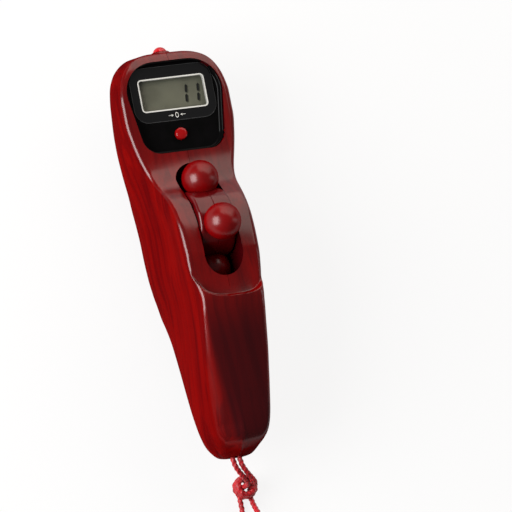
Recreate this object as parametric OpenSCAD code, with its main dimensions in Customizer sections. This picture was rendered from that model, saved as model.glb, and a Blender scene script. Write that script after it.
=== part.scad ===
// Handheld bead tally counter, millimetres.
// It lies on its back: X to the right, Y to the head, Z up out of the display face, floor at Z 0.

/* [Body] */
// length of the shell from tail to head
body_len = 141; // [139:1:145]
// greatest width of the shell, at the head
body_w = 42; // [41.5:0.5:44]
// wall thickness of the shell
wall = 2; // [1.9:0.1:2.2]
// radius of the edge between front and sides
edge_r = 1.6; // [1.2:0.1:1.8]
// radius of the left edge at the tail, where the front is rounded off
left_edge_r = 11; // [8:0.5:12]
// radius of the right edge at the tail
right_edge_r = 2.4; // [1.6:0.1:4]
// depth of the finger groove in each side
groove = 2.2; // [1.6:0.1:2.4]

/* [Drum] */
// diameter of one bead
bead_d = 12.6; // [12.2:0.1:12.8]
// radius of the drum that carries the beads
drum_r = 11.6; // [11.4:0.1:12]
// height of the axle above the floor
axle_z = 30.7; // [30.2:0.1:31]
// width of the drum
drum_w = 13; // [12.6:0.1:13.2]
// diameter of the steel axle
axle_d = 3; // [2.6:0.1:3.4]

/* [Display] */
// width of the part of the panel that shows
view_w = 23.5; // [22:0.5:24.5]
// height of the part of the panel that shows
view_h = 10.7; // [10:0.1:11]
// width of the black bezel
bezel_w = 35; // [34:0.5:36]
// diameter of the reset button
reset_d = 4.1; // [3.6:0.1:4.6]
// how far the reset button travels
reset_travel = 0.7; // [0.5:0.1:0.8]
// diameter of the lamp
led_d = 5; // [4.6:0.1:5]

/* [Cord] */
// diameter of the twisted cord
cord_d = 2; // [1.8:0.1:2]
// number of loops in the tied hank
hank_loops = 3; // [2:1:4]

/* [Hidden] */
led_proud = 2.7;
y_shift = -led_proud / 2;
crown = 0.5;
side_bulge = 0.2;
bead_count = 4;
bead_first = -9;
fit = 0.1;
run_fit = 0.05;

// a distance from the middle of the shell, turned into a Y of the part
function ym(m) = m * len_k + y_shift;
function lerp(a, b, t) = a + (b - a) * t;

// Stations of the shell from tail to head, hand chosen
// distance from the middle, front height, back height, front half width, widest half width, its height
stations = [
  [-70.5, 20.6, 13.2, 3.2, 4.6, 17.0],
  [-69.6, 22.8, 12.3, 5.2, 6.4, 17.0],
  [-68.0, 25.6, 11.5, 6.9, 8.0, 17.2],
  [-66.0, 28.6, 10.9, 8.4, 9.4, 17.4],
  [-64.0, 30.2, 10.3, 9.4, 10.2, 17.6],
  [-60.0, 31.5, 9.2, 10.3, 11.1, 17.8],
  [-52.0, 33.6, 7.2, 11.0, 12.0, 18.0],
  [-44.0, 36.0, 5.5, 11.4, 12.4, 17.8],
  [-36.0, 38.7, 3.7, 11.6, 12.6, 17.0],
  [-28.0, 41.3, 1.8, 11.6, 12.9, 16.0],
  [-22.0, 43.2, 0.4, 11.6, 13.6, 15.0],
  [-18.5, 43.9, -0.4, 11.7, 14.2, 14.3],
  [-15.0, 43.3, -0.6, 12.2, 14.7, 14.0],
  [-10.0, 42.6, -0.6, 13.0, 15.5, 13.5],
  [-4.0, 42.1, -0.6, 13.6, 16.1, 13.0],
  [2.0, 41.6, -0.6, 13.8, 16.4, 13.0],
  [8.0, 40.6, -0.6, 13.9, 16.5, 13.0],
  [12.0, 39.1, -0.6, 14.0, 16.7, 13.0],
  [16.0, 36.6, -0.6, 14.2, 17.0, 13.0],
  [19.0, 33.9, -0.4, 14.5, 17.3, 13.0],
  [22.0, 30.9, 0.6, 14.9, 17.7, 13.2],
  [25.0, 28.7, 2.0, 15.5, 18.2, 13.5],
  [29.0, 27.2, 3.5, 16.6, 19.0, 14.0],
  [34.0, 26.6, 5.2, 18.0, 19.8, 14.5],
  [40.0, 26.4, 7.0, 19.3, 20.6, 15.5],
  [47.0, 26.3, 9.0, 20.2, 21.0, 16.8],
  [54.0, 26.2, 10.7, 20.2, 20.9, 17.8],
  [60.0, 26.0, 12.0, 19.2, 20.3, 18.4],
  [64.5, 25.8, 13.0, 17.2, 18.6, 18.6],
  [67.5, 25.3, 13.8, 14.6, 16.1, 18.6],
  [69.6, 24.2, 14.5, 10.6, 12.6, 18.6],
  [70.5, 22.8, 15.2, 6.8, 8.6, 18.6],
];
last_station = len(stations) - 1;
half_len = stations[last_station][0];
len_k = body_len / (2 * half_len);
wid_k = body_w / (2 * max([for (s = stations) s[4]]));

// depth of the finger groove at a station
function groove_at(m) = abs(m - 3) < 19 ? groove * (1 + cos(180 * (m - 3) / 19)) / 2 : 0;

// radius of the front edge at a station: it grows from the lip to tail_r at the tail
function edge_at(m, tail_r) = m > -22 ? edge_r : edge_r + (tail_r - edge_r) * pow((-22 - m) / (half_len - 22), 1.4);

// half section of the shell, inset by d, from the front middle round to the back middle
function half_section(s, d, tail_r) =
  let (
    zf = s[1] - d,
    zb = s[2] + d,
    wf = s[3] * wid_k - d,
    wm = s[4] * wid_k - d,
    zm = s[5],
    er = min(edge_at(s[0], tail_r), wf * 0.85),
    side_top = zf - crown - er,
    g = groove_at(s[0]) - side_bulge
  )
  concat(
    [[0, zf], [(wf - er) * 0.5, zf - crown * 0.25], [wf - er, zf - crown]],
    [for (a = [18, 36, 54, 72, 90]) [wf - er + er * sin(a), side_top + er * cos(a)]],
    [for (t = [0.25, 0.5, 0.75]) [lerp(wf, wm, t) - g * sin(180 * t), lerp(side_top, zm, t)]],
    [for (a = [0, 18, 36, 54, 68, 80]) [wm * pow(cos(a), 0.75), max(d, zm - (zm - zb) * pow(sin(a), 0.75))]],
    [[0, max(d, zb)]]
  );
section_count = len(half_section(stations[0], 0, edge_r));

// points of the half skin at inset d, all stations in order
function skin_points(d, tail_r) = [
  for (s = stations)
    let (y = ym(s[0] * (half_len - d) / half_len))
    for (p = half_section(s, d, tail_r)) [p[0], y, p[1]]
];

// faces of one skin; the first point of the skin has the number base
function skin_faces(base) = [
  for (i = [0 : last_station - 1])
    for (j = [0 : section_count - 2])
      let (a = base + i * section_count + j, b = a + section_count)
      each [[a, a + 1, b + 1], [a, b + 1, b]]
];
function flip(faces) = [for (f = faces) [for (k = [len(f) - 1 : -1 : 0]) f[k]]];
function ring(base, i) = [for (j = [0 : section_count - 1]) base + i * section_count + j];

// triangles that close one end of a skin, taken from both sides in turn
function end_fan(r) =
  let (n = len(r))
  [
    for (k = [0 : n - 3])
      let (lo = floor((k + 1) / 2), hi = n - 1 - floor(k / 2))
      k % 2 == 0 ? [r[lo], r[lo + 1], r[hi]] : [r[lo], r[hi - 1], r[hi]]
  ];

// hollow half of the body: outer skin, inner skin and the seam face between them
module half_shell(tail_r) {
  n = (last_station + 1) * section_count;
  e = section_count - 1;
  front_seam = [
    for (i = [0 : last_station - 1])
      let (a = i * section_count, b = a + section_count)
      each [[a, b, n + b], [a, n + b, n + a]]
  ];
  back_seam = [
    for (i = [0 : last_station - 1])
      let (a = i * section_count + e, b = a + section_count)
      each [[a, n + b, b], [a, n + a, n + b]]
  ];
  h = last_station * section_count;
  tail_seam = [[0, n, n + e], [0, n + e, e]];
  head_seam = [[h, n + h + e, n + h], [h, h + e, n + h + e]];
  polyhedron(
    points = concat(skin_points(0, tail_r), skin_points(wall, tail_r)),
    faces = flip(concat(
      skin_faces(0), flip(skin_faces(n)),
      end_fan(flip([ring(0, 0)])[0]), end_fan(ring(0, last_station)),
      end_fan(ring(n, 0)), end_fan(flip([ring(n, last_station)])[0]),
      front_seam, back_seam, tail_seam, head_seam
    ))
  );
}

// Drum and its well
bead_r = bead_d / 2;
bead_pitch = drum_r + 3.86;
well_web = 1.2;
slot_half = drum_w / 2 + 0.5;
well_turn = max(slot_half, bead_r + 0.5) + 0.1;
well_r = bead_pitch + well_turn;
drum_y = ym(8.2 * len_k);
drum_z = axle_z;
axle_half = slot_half + 3.5;

// Head stack
bezel_top = 25.2;
bezel_floor = bezel_top - 2;
bezel_under = bezel_floor - 1.5;
rim = 0.7;
lcd_t = 2;
strip_h = 1.5;
bezel_len = 32.2;
head_end = ym(half_len);
tail_end = ym(-half_len);
led_base = head_end - 7.5;
bezel_y1 = led_base + 4;
bezel_y0 = bezel_y1 - bezel_len;
lcd_frame = 1.5;
lcd_y = led_base - 0.35 - lcd_frame - view_h / 2;
reset_y = bezel_y0 + 6.6;
board_len = 27;
board_y0 = led_base - board_len;
function on_board(m) = board_y0 + m;
board_top = bezel_under - lcd_t - strip_h;
board_t = 1.2;
board_under = board_top - board_t;
pane_y0 = lcd_y - view_h / 2 - 4.25;
pane_t = 1;
post_x = 12;
post_y = on_board(8.6);
led_z = board_top + 0.25;
led_r = led_d / 2;

// Battery bay, square to the back of the handle
bay_tilt = -12.5;
bay_y = ym(-40);
bay_z = 4.6;
cell_r = 5.8;
cell_h = 5.4;
bore_r = cell_r + 0.3;
door_r = 7.2;
door_gap = 0.15;
door_out = 1.6;
door_in = 3.1;
seat = door_in + fit;
ring_w = seat + 0.2;
cell_w = ring_w + 0.5;
plate_w = cell_w + 2 * cell_h;
bore_end = plate_w + 0.4;
tub_r = bore_r + 2.5;
tab_half = 1.5;
tab_reach = 12.4 * wid_k - wall - 1.4;
riser_t = 0.5;
riser_w = bore_end - 3.4;

// Shell screws: distance from the middle, height, and how far their bosses reach
screw_spots = [[31.5, 12, 18.2], [-27, 34, 11], [-51, 23, 10.1]];
screw_r = 1;
screw_head_r = 2;
screw_seat = 5;

// Cord anchor
pin_r = 3;
pin_y = ym(-60.5);
pin_z = 19;
pin_half = 7;
cord_r = cord_d / 2;
exit_z = 17;
exit_r = cord_d + 0.8;
strand_x = cord_r + 0.25;

// places a child in the frame of the battery bay, Z pointing into the handle
module in_bay() {
  translate([0, bay_y, bay_z]) rotate([bay_tilt, 0, 0]) children();
}
// a point of the battery bay in the frame of the part
function bay_point(x, w) = [x, bay_y - w * sin(bay_tilt), bay_z + w * cos(bay_tilt)];

// cylinder along X from x0 to x1
module x_rod(x0, x1, y, z, r) {
  translate([x0, y, z]) rotate([0, 90, 0]) cylinder(h = x1 - x0, r = r, $fn = 64);
}

// outline of the bezel grown by d, narrower at the foot, with round corners
function corner(cx, cy, r, a0, a1) = [for (k = [0 : 5]) [cx + r * cos(lerp(a0, a1, k / 5)), cy + r * sin(lerp(a0, a1, k / 5))]];
function bezel_outline(d) =
  let (
    top_half = bezel_w / 2,
    foot_half = bezel_w / 2 - 2.2,
    top_r = 11,
    foot_r = 6.5,
    y0 = bezel_y0,
    y1 = bezel_y1,
    right = concat(
      corner(foot_half - foot_r, y0 + foot_r, foot_r + d, -90, -4),
      corner(top_half - top_r, y1 - top_r, top_r + d, -4, 90)
    )
  )
  concat(right, [for (k = [len(right) - 1 : -1 : 0]) [-right[k][0], right[k][1]]]);
module bezel_prism(d, z0, z1) {
  translate([0, 0, z0]) linear_extrude(z1 - z0) polygon(bezel_outline(d));
}

// lugs on the sides of the bezel, grown by d, that hold it under the front of the shell
module bezel_lugs(d) {
  for (x = [-1, 1])
    translate([x * (bezel_w / 2 - 0.1), on_board(14), bezel_under + 0.7]) cube([1.8 + 2 * d, 8 + 2 * d, 1.4 + 2 * d], center = true);
}

// plate with round corners, centred on x 0
module round_plate(w, y0, y1, z0, z1, r) {
  pts = concat(
    corner(w / 2 - r, y0 + r, r, -90, 0), corner(w / 2 - r, y1 - r, r, 0, 90),
    corner(r - w / 2, y1 - r, r, 90, 180), corner(r - w / 2, y0 + r, r, 180, 270)
  );
  translate([0, 0, z0]) linear_extrude(z1 - z0) polygon(pts);
}

// box given by two corners
module box(a, b) {
  translate(a) cube(b - a);
}

// space that the drum and its beads sweep, grown by d, with a round floor that follows the beads
module drum_space(d) {
  x_rod(-1, slot_half + d, drum_y, drum_z, bead_pitch);
  translate([0, drum_y, drum_z]) rotate([0, 90, 0])
    rotate_extrude($fn = 96) translate([bead_pitch, 0]) circle(r = well_turn + d, $fn = 64);
}

// Shallow scoop across the front, between the drum and the lip
scoop_r = 45;
scoop_floor = 41;
scoop_y = ym(-13);
scoop_half = 14;
scoop_len = 17.5;
module scoop() {
  intersection() {
    x_rod(-1, 20, scoop_y, scoop_floor + scoop_r, scoop_r);
    translate([0, ym(-2), scoop_floor - 1])
      linear_extrude(14)
        polygon(concat(
          [[-1, 0], [scoop_half * wid_k, 0]],
          [
            for (a = [10 : 10 : 80])
              [scoop_half * wid_k * pow(cos(a), 0.57), -scoop_len * len_k * pow(sin(a), 0.57)]
          ],
          [[-1, -scoop_len * len_k]]
        ));
  }
}

// side profile of the body over the drum, inset to the middle of the wall
trim = wall / 2;
drum_stations = [for (s = stations) if (abs(s[0] - 3) < 33) s];
function drum_profile() =
  concat(
    [for (s = drum_stations) [ym(s[0]), s[1] - trim]],
    [for (k = [len(drum_stations) - 1 : -1 : 0]) [ym(drum_stations[k][0]), max(0, drum_stations[k][2]) + trim]]
  );
module drum_housing() {
  intersection() {
    rotate([90, 0, 90]) linear_extrude(slot_half + 6) polygon(drum_profile());
    union() {
      drum_space(well_web);
      box([-1, ym(-21.5), scoop_floor - 8], [11.4 * wid_k, ym(-2), 50]);
    }
  }
}

// webs and bosses inside one half; each ends in the middle of the wall
module inner_features() {
  drum_housing();
  x_rod(slot_half, axle_half + 1.2, drum_y, drum_z, axle_d / 2 + 2.1);
  intersection() {
    in_bay() {
      translate([0, 0, 2.9]) cylinder(h = bore_end - 1.4, r = tub_r, $fn = 64);
      intersection() {
        translate([0, 0, 1.3]) cylinder(h = 2.6, r = tub_r, $fn = 64);
        box([-6, -10, 0], [6, 10, 5]);
      }
    }
    box([0, ym(-70), 0], [20, ym(-10), 40]);
  }
  for (s = screw_spots) x_rod(0, s[2] * wid_k, ym(s[0]), s[1], 3.2);
  x_rod(4.5, 9.2 * wid_k, pin_y, pin_z, pin_r + 1.5);
}

// one half with its shared openings
module half_case(tail_r) {
  difference() {
    union() {
      half_shell(tail_r);
      inner_features();
    }
    drum_space(0);
    scoop();
    bezel_prism(0, board_top + 0.3, bezel_top + 5);
    bezel_lugs(fit);
    x_rod(slot_half - 1, axle_half, drum_y, drum_z, axle_d / 2);
    translate([0, head_end - 6, led_z]) rotate([-90, 0, 0]) cylinder(h = 9, r = led_r, $fn = 48);
    translate([0, tail_end - 3, exit_z]) rotate([-90, 0, 0]) cylinder(h = 9.5, r = exit_r, $fn = 48);
    x_rod(4, pin_half, pin_y, pin_z, pin_r);
    in_bay() {
      translate([0, 0, -6]) cylinder(h = seat + 6, r = door_r + door_gap, $fn = 64);
      translate([0, 0, seat - 1]) cylinder(h = bore_end - seat + 1, r = bore_r, $fn = 64);
    }
  }
}

module left_shell() {
  color("#7d0c0e") difference() {
    mirror([1, 0, 0]) half_case(left_edge_r);
    for (s = screw_spots) x_rod(-8, 1, ym(s[0]), s[1], screw_r);
  }
}
module right_shell() {
  color("#7d0c0e") difference() {
    half_case(right_edge_r);
    for (s = screw_spots) {
      x_rod(-1, screw_seat + 1, ym(s[0]), s[1], screw_r + 0.15);
      x_rod(screw_seat, 30, ym(s[0]), s[1], screw_head_r + 0.2);
    }
    in_bay() {
      box([0, -tab_half, plate_w], [tab_reach + 1, tab_half, bore_end]);
      box([bore_r + 0.8, -tab_half, plate_w - 0.4], [tab_reach + 1, 4, bore_end + 1.6]);
      box([0, -tab_half, ring_w], [bore_r + riser_t, tab_half, riser_w + 0.4]);
      box([0, -tab_half, riser_w], [tab_reach + 1, tab_half, riser_w + 0.4]);
    }
  }
}
module shell_screw(k) {
  s = screw_spots[k];
  color("#b8b8bc") difference() {
    union() {
      x_rod(-8, screw_seat, ym(s[0]), s[1], screw_r);
      x_rod(screw_seat, screw_seat + 1.7, ym(s[0]), s[1], screw_head_r);
    }
    translate([screw_seat + 1.7, ym(s[0]), s[1]]) {
      cube([1.8, 0.5, 2.4], center = true);
      cube([1.8, 2.4, 0.5], center = true);
    }
  }
}
module shell_screw_head() {
  shell_screw(0);
}
module shell_screw_middle() {
  shell_screw(1);
}
module shell_screw_tail() {
  shell_screw(2);
}

// Display
pane_w = bezel_w - 4.6;
module display_bezel() {
  color("#101012") difference() {
    union() {
      difference() {
        bezel_prism(0, bezel_under, bezel_top);
        bezel_prism(-rim, bezel_floor, bezel_top + 1);
      }
      for (x = [-1, 1]) {
        translate([x * post_x, post_y, board_top]) cylinder(h = bezel_under - board_top + 0.5, r = 1.7, $fn = 32);
      }
      bezel_lugs(0);
    }
    round_plate(pane_w, pane_y0, bezel_y1 - rim - 0.6, bezel_floor - pane_t + 0.2, bezel_top + 1, 5);
    box([-view_w / 2 - 0.6, lcd_y - view_h / 2 - 0.6, bezel_under - 1], [view_w / 2 + 0.6, lcd_y + view_h / 2 + 0.6, bezel_top]);
    translate([0, reset_y, bezel_under - 1]) cylinder(h = 6, r = reset_d / 2 + fit, $fn = 48);
    for (x = [-1, 1]) translate([x * post_x, post_y, board_top - 1]) cylinder(h = 4, r = 0.8, $fn = 24);
  }
}
module display_window() {
  color("#3a3f3c") round_plate(pane_w, pane_y0, bezel_y1 - rim - 0.6, bezel_floor - pane_t + 0.2, bezel_floor + 0.2, 5);
}
module lcd_panel() {
  color("#8b8f7c")
    box([-view_w / 2 - lcd_frame, lcd_y - view_h / 2 - lcd_frame, bezel_under - lcd_t], [view_w / 2 + lcd_frame, lcd_y + view_h / 2 + lcd_frame, bezel_under]);
}
module contact_strip() {
  color("#c8a0a8")
    box([-view_w / 2, lcd_y - view_h / 2 - 1.2, board_top], [view_w / 2, lcd_y - view_h / 2 + 0.6, bezel_under - lcd_t]);
}
module circuit_board() {
  color("#1f5a34") difference() {
    round_plate(2 * post_x + 4, board_y0, board_y0 + board_len, board_under, board_top, 2);
    for (x = [-1, 1]) translate([x * post_x, post_y, board_under - 1]) cylinder(h = 4, r = 0.8 + fit, $fn = 24);
  }
}
module controller_cap() {
  color("#18181a") translate([0, on_board(15), board_under - 1.4]) {
    cylinder(h = 1.4, r1 = 3.2, r2 = 4.4, $fn = 48);
  }
}
module board_components() {
  color("#a8906a") for (p = [[-9, 20], [-5, 6], [6, 7], [9.5, 21]])
    box([p[0] - 1, on_board(p[1]) - 0.6, board_under - 0.9], [p[0] + 1, on_board(p[1]) + 0.6, board_under]);
  color("#b8b8bc") x_rod(-10.5, -5.5, on_board(14), board_under - 1, 1);
}
module board_screws() {
  color("#b8b8bc") for (x = [-1, 1]) translate([x * post_x, post_y, 0]) {
    translate([0, 0, board_under]) cylinder(h = 4, r = 0.8, $fn = 24);
    translate([0, 0, board_under - 1]) cylinder(h = 1, r = 1.5, $fn = 24);
  }
}
module led_lamp() {
  color("#d01828") {
    translate([0, led_base, led_z]) rotate([-90, 0, 0]) cylinder(h = head_end + led_proud - led_r - led_base, r = led_r, $fn = 48);
    translate([0, head_end + led_proud - led_r, led_z]) sphere(r = led_r, $fn = 48);
    translate([0, led_base, led_z]) rotate([-90, 0, 0]) cylinder(h = 1, r = led_r + 0.3, $fn = 48);
  }
}
module led_leads() {
  color("#c0c0c4") for (x = [-1.27, 1.27])
    translate([x, led_base - 4.5, led_z]) rotate([-90, 0, 0]) cylinder(h = 4.5, r = 0.25, $fn = 16);
}
dome_h = reset_travel + 0.2;
dome_r = 2.2;
module reset_dome() {
  color("#c9ccd0") translate([0, reset_y, board_top]) cylinder(h = dome_h, r1 = dome_r, r2 = 1.2, $fn = 32);
}
module reset_button() {
  color("#b81018") translate([0, reset_y, 0]) {
    translate([0, 0, bezel_under - fit]) cylinder(h = bezel_top - 0.5 - bezel_under + fit - 0.4, r = reset_d / 2, $fn = 48);
    translate([0, 0, bezel_top - 0.9]) cylinder(h = 0.4, r1 = reset_d / 2, r2 = reset_d / 2 - 0.4, $fn = 48);
    translate([0, 0, bezel_under - fit - 0.7]) cylinder(h = 0.7, r = reset_d / 2 + 1.1, $fn = 48);
    translate([0, 0, board_top + dome_h]) cylinder(h = bezel_under - fit - 0.7 - board_top - dome_h, r = 1.2, $fn = 32);
  }
}

// Drum
stem_r = 1.6;
collar_r = 2.4;
stem_foot = 6;
collar_foot = 4.9;
bead_step = 360 / bead_count;
magnet_ring = drum_r - 3;
screw_ring = 5.2;
module on_drum(angle, radius) {
  translate([0, drum_y, drum_z]) rotate([-angle, 0, 0]) translate([0, 0, radius]) children();
}
module bead_body() {
  sphere(r = bead_r, $fn = 96);
  translate([0, 0, stem_foot - bead_pitch]) cylinder(h = bead_pitch - stem_foot, r = stem_r, $fn = 32);
  translate([0, 0, collar_foot - bead_pitch]) cylinder(h = 1.4, r = collar_r, $fn = 32);
}
module bead(k) {
  color("#8f0a0e") on_drum(bead_first + k * bead_step, bead_pitch) bead_body();
}
module bead_top() {
  bead(0);
}
module bead_head() {
  bead(1);
}
module bead_low() {
  bead(2);
}
module bead_tail() {
  bead(3);
}
drum_screw_spots = [bead_first + bead_step / 2, bead_first + bead_step / 2 + 180];
magnet_x = drum_w / 2 - 2;
module drum_half_body() {
  translate([0, drum_y, drum_z]) rotate([0, 90, 0])
    rotate_extrude($fn = 128) polygon([
      [axle_d / 2 + run_fit, 0], [drum_r, 0], [drum_r - 0.2, drum_w / 2 - 0.7],
      [drum_r - 0.9, drum_w / 2], [axle_d / 2 + run_fit, drum_w / 2],
    ]);
}
module drum_sockets() {
  for (k = [0 : bead_count - 1]) on_drum(bead_first + k * bead_step, bead_pitch) bead_body();
}
module drum_left_half() {
  color("#741012") difference() {
    mirror([1, 0, 0]) drum_half_body();
    drum_sockets();
    for (a = drum_screw_spots) on_drum(a, screw_ring) rotate([0, 90, 0]) translate([0, 0, -4]) cylinder(h = 5, r = 0.8, $fn = 24);
    for (k = [0 : bead_count - 1]) on_drum(bead_first + bead_step * (k + 0.5), magnet_ring) rotate([0, 90, 0]) translate([0, 0, -magnet_x - 3]) cylinder(h = 3, r = 1.5, $fn = 32);
  }
}
module drum_right_half() {
  color("#741012") difference() {
    drum_half_body();
    drum_sockets();
    for (a = drum_screw_spots) on_drum(a, screw_ring) rotate([0, 90, 0]) {
      translate([0, 0, -1]) cylinder(h = 9, r = 0.8 + fit, $fn = 24);
      translate([0, 0, 3]) cylinder(h = 9, r = 1.6, $fn = 32);
    }
  }
}
module drum_screws() {
  color("#b8b8bc") for (a = drum_screw_spots) on_drum(a, screw_ring) rotate([0, 90, 0]) {
    translate([0, 0, -4]) cylinder(h = 7, r = 0.8, $fn = 24);
    translate([0, 0, 3]) cylinder(h = 1.4, r = 1.5, $fn = 24);
  }
}
module drum_magnets() {
  color("#8a8c90") for (k = [0 : bead_count - 1])
    on_drum(bead_first + bead_step * (k + 0.5), magnet_ring) rotate([0, 90, 0]) translate([0, 0, -magnet_x - 2]) cylinder(h = 2, r = 1.5, $fn = 32);
}
module drum_axle() {
  color("#c4c6ca") x_rod(-axle_half, axle_half, drum_y, drum_z, axle_d / 2);
}

// bent round wire through a list of points
module wire(route, r) {
  tube(smooth_route(route, 3), r, 6, [1, 0, 0]);
}

// Sensor on the outside of the left wall of the well
reed_r = 1.1;
reed_x = -slot_half - well_web - reed_r;
reed_y = drum_y + magnet_ring * sin(110);
reed_z = drum_z + magnet_ring * cos(110);
module reed_switch() {
  color("#a9c4b4") translate([reed_x, reed_y, reed_z - 5]) cylinder(h = 10, r = reed_r, $fn = 32);
}
module sensor_leads() {
  color("#c0c0c4") {
    wire([[reed_x, reed_y, reed_z - 4.8], [reed_x, ym(21), 18], [reed_x, ym(28), 17.6], [reed_x, board_y0, 17.6]], 0.4);
    wire([[reed_x, reed_y, reed_z + 4.8], [reed_x - 1.2, ym(21), 26.2], [reed_x - 1.5, ym(29), 20.5], [reed_x - 1.5, board_y0, 17.6]], 0.4);
  }
}

// Battery
module battery_door() {
  color("#6d0b0d") in_bay() difference() {
    translate([0, 0, door_out]) cylinder(h = door_in - door_out, r = door_r, $fn = 64);
    translate([0, 0, door_out]) cube([9, 1.3, 1.6], center = true);
  }
}
module cell_outer() {
  color("#b9bbc0") in_bay() translate([0, 0, cell_w]) cylinder(h = cell_h, r = cell_r, $fn = 64);
}
module cell_inner() {
  color("#b9bbc0") in_bay() translate([0, 0, cell_w + cell_h]) cylinder(h = cell_h, r = cell_r, $fn = 64);
}
module cell_plate() {
  color("#cfd1d4") in_bay() {
    translate([0, 0, plate_w]) cylinder(h = 0.4, r = 5.2, $fn = 48);
    box([0, -tab_half, plate_w], [tab_reach, tab_half, bore_end]);
  }
}
module cell_ring() {
  color("#cfd1d4") in_bay() {
    difference() {
      translate([0, 0, ring_w]) cylinder(h = 0.5, r = bore_r, $fn = 64);
      translate([0, 0, ring_w - 1]) cylinder(h = 3, r = 4, $fn = 48);
    }
    difference() {
      union() {
        box([4.5, -tab_half, ring_w], [bore_r + riser_t, tab_half, riser_w + 0.4]);
        box([bore_r, -tab_half, riser_w], [tab_reach, tab_half, riser_w + 0.4]);
      }
      translate([0, 0, ring_w + 0.5]) cylinder(h = 20, r = bore_r - 0.1, $fn = 64);
    }
  }
}
wire_r = 0.5;
wire_x = slot_half + well_web + wire_r + 0.6;
module wire_plate() {
  start = bay_point(tab_reach + wire_r, plate_w + 0.2);
  color("#a01818") wire(
    [
      start, [9.6 * wid_k, ym(-26), 20.5], [wire_x, ym(-10), 20.5], [wire_x, ym(12), 19.5],
      [10.6 * wid_k, ym(30), 18], [10.6 * wid_k, board_y0, 17.6],
    ],
    wire_r
  );
}
module wire_ring() {
  start = bay_point(tab_reach + wire_r, riser_w + 0.2);
  color("#202022") wire(
    [
      start, [9.6 * wid_k, ym(-26), 16.5], [wire_x, ym(-10), 16.5], [wire_x, ym(12), 16.5],
      [12.4 * wid_k, ym(30), 17.3], [12.4 * wid_k, board_y0, 17.6],
    ],
    wire_r
  );
}

// Cord
module anchor_pin() {
  color("#c4c6ca") x_rod(-pin_half, pin_half, pin_y, pin_z, pin_r);
}
function catmull(a, b, c, d, t) =
  0.5 * (2 * b + (c - a) * t + (2 * a - 5 * b + 4 * c - d) * t * t + (3 * b - a - 3 * c + d) * t * t * t);
function smooth_route(p, n) =
  let (m = len(p) - 1)
  concat(
    [
      for (i = [0 : m - 1])
        for (k = [0 : n - 1])
          catmull(
            i > 0 ? p[i - 1] : 2 * p[0] - p[1], p[i], p[i + 1],
            i + 1 < m ? p[i + 2] : 2 * p[m] - p[m - 1], k / n
          )
    ],
    [p[m]]
  );
function unit(v) = v / norm(v);
function route_dir(p, i) = unit(p[min(i + 1, len(p) - 1)] - p[max(i - 1, 0)]);
// one unbroken tube along a route; up is a direction that the route never takes
module tube(route, r, sides, up) {
  n = len(route);
  pts = [
    for (i = [0 : n - 1])
      let (t = route_dir(route, i), a = unit(cross(up, t)), b = cross(t, a))
      for (k = [0 : sides - 1]) route[i] + r * (cos(360 * k / sides) * a + sin(360 * k / sides) * b)
  ];
  walls = [
    for (i = [0 : n - 2])
      for (k = [0 : sides - 1])
        let (q = i * sides + k, s = i * sides + (k + 1) % sides)
        each [[q, s + sides, s], [q, q + sides, s + sides]]
  ];
  first = [for (k = [0 : sides - 1]) k];
  last = [for (k = [sides - 1 : -1 : 0]) (n - 1) * sides + k];
  polyhedron(points = pts, faces = concat(walls, end_fan(first), end_fan(last)));
}
knot_x = 6.6;
knot_y = ym(-79.4);
knot_turn_r = 3.1;
knot_turns = 3;
knot_strand_r = cord_r + 0.15;
knot_top = 2 * knot_turns * knot_strand_r + 0.1;
turn_r = pin_r + cord_r + 0.25;
// one strand from the anchor pin out through the tail and down into the knot
function strand(side, rise) = concat(
  [
    [side * strand_x, tail_end + 4.4, exit_z + rise],
    [side * strand_x, tail_end + 1.8, exit_z + rise * 0.1],
  ],
  [
    for (t = [0, 18, 36, 54, 72, 90])
      [
        side * strand_x + knot_x * pow(sin(t), 2),
        lerp(tail_end - 0.5, knot_y, sin(t)),
        lerp(knot_top + 1.8, exit_z, cos(t)),
      ]
  ],
  [[side * strand_x + knot_x, knot_y, knot_top - 0.5]]
);
function turn(a) = [strand_x * cos(lerp(0, 180, (a + 44) / 244)), pin_y + turn_r * sin(a), pin_z + turn_r * cos(a)];
function reverse(v) = [for (k = [len(v) - 1 : -1 : 0]) v[k]];
wrist_route = smooth_route(
  concat(
    reverse(strand(1, 1.2)),
    [for (a = [-44, -9, 26, 61, 95, 130, 165, 200]) turn(a)],
    strand(-1, -0.4)
  ),
  3
);
module wrist_cord() {
  color("#c01524") tube(wrist_route, cord_r, 8, [1, 0, 0]);
}
module cord_knot() {
  color("#c01524") translate([knot_x, knot_y, 0]) {
    for (k = [0 : knot_turns - 1])
      translate([0, 0, knot_strand_r * (2 * k + 1) + 0.05])
        rotate_extrude($fn = 64) translate([knot_turn_r, 0]) circle(r = knot_strand_r, $fn = 32);
    translate([0, 0, 0.6]) cylinder(h = knot_top - 0.6, r = knot_turn_r, $fn = 48);
  }
}
hank_x = 7;
hank_y = ym(-105.5);
hank_run = 12;
hank_r = 3 * cord_d;
hank_pitch = cord_d + 0.6;
hank_z = cord_r + 0.6;
rings_a_loop = 24;
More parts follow.
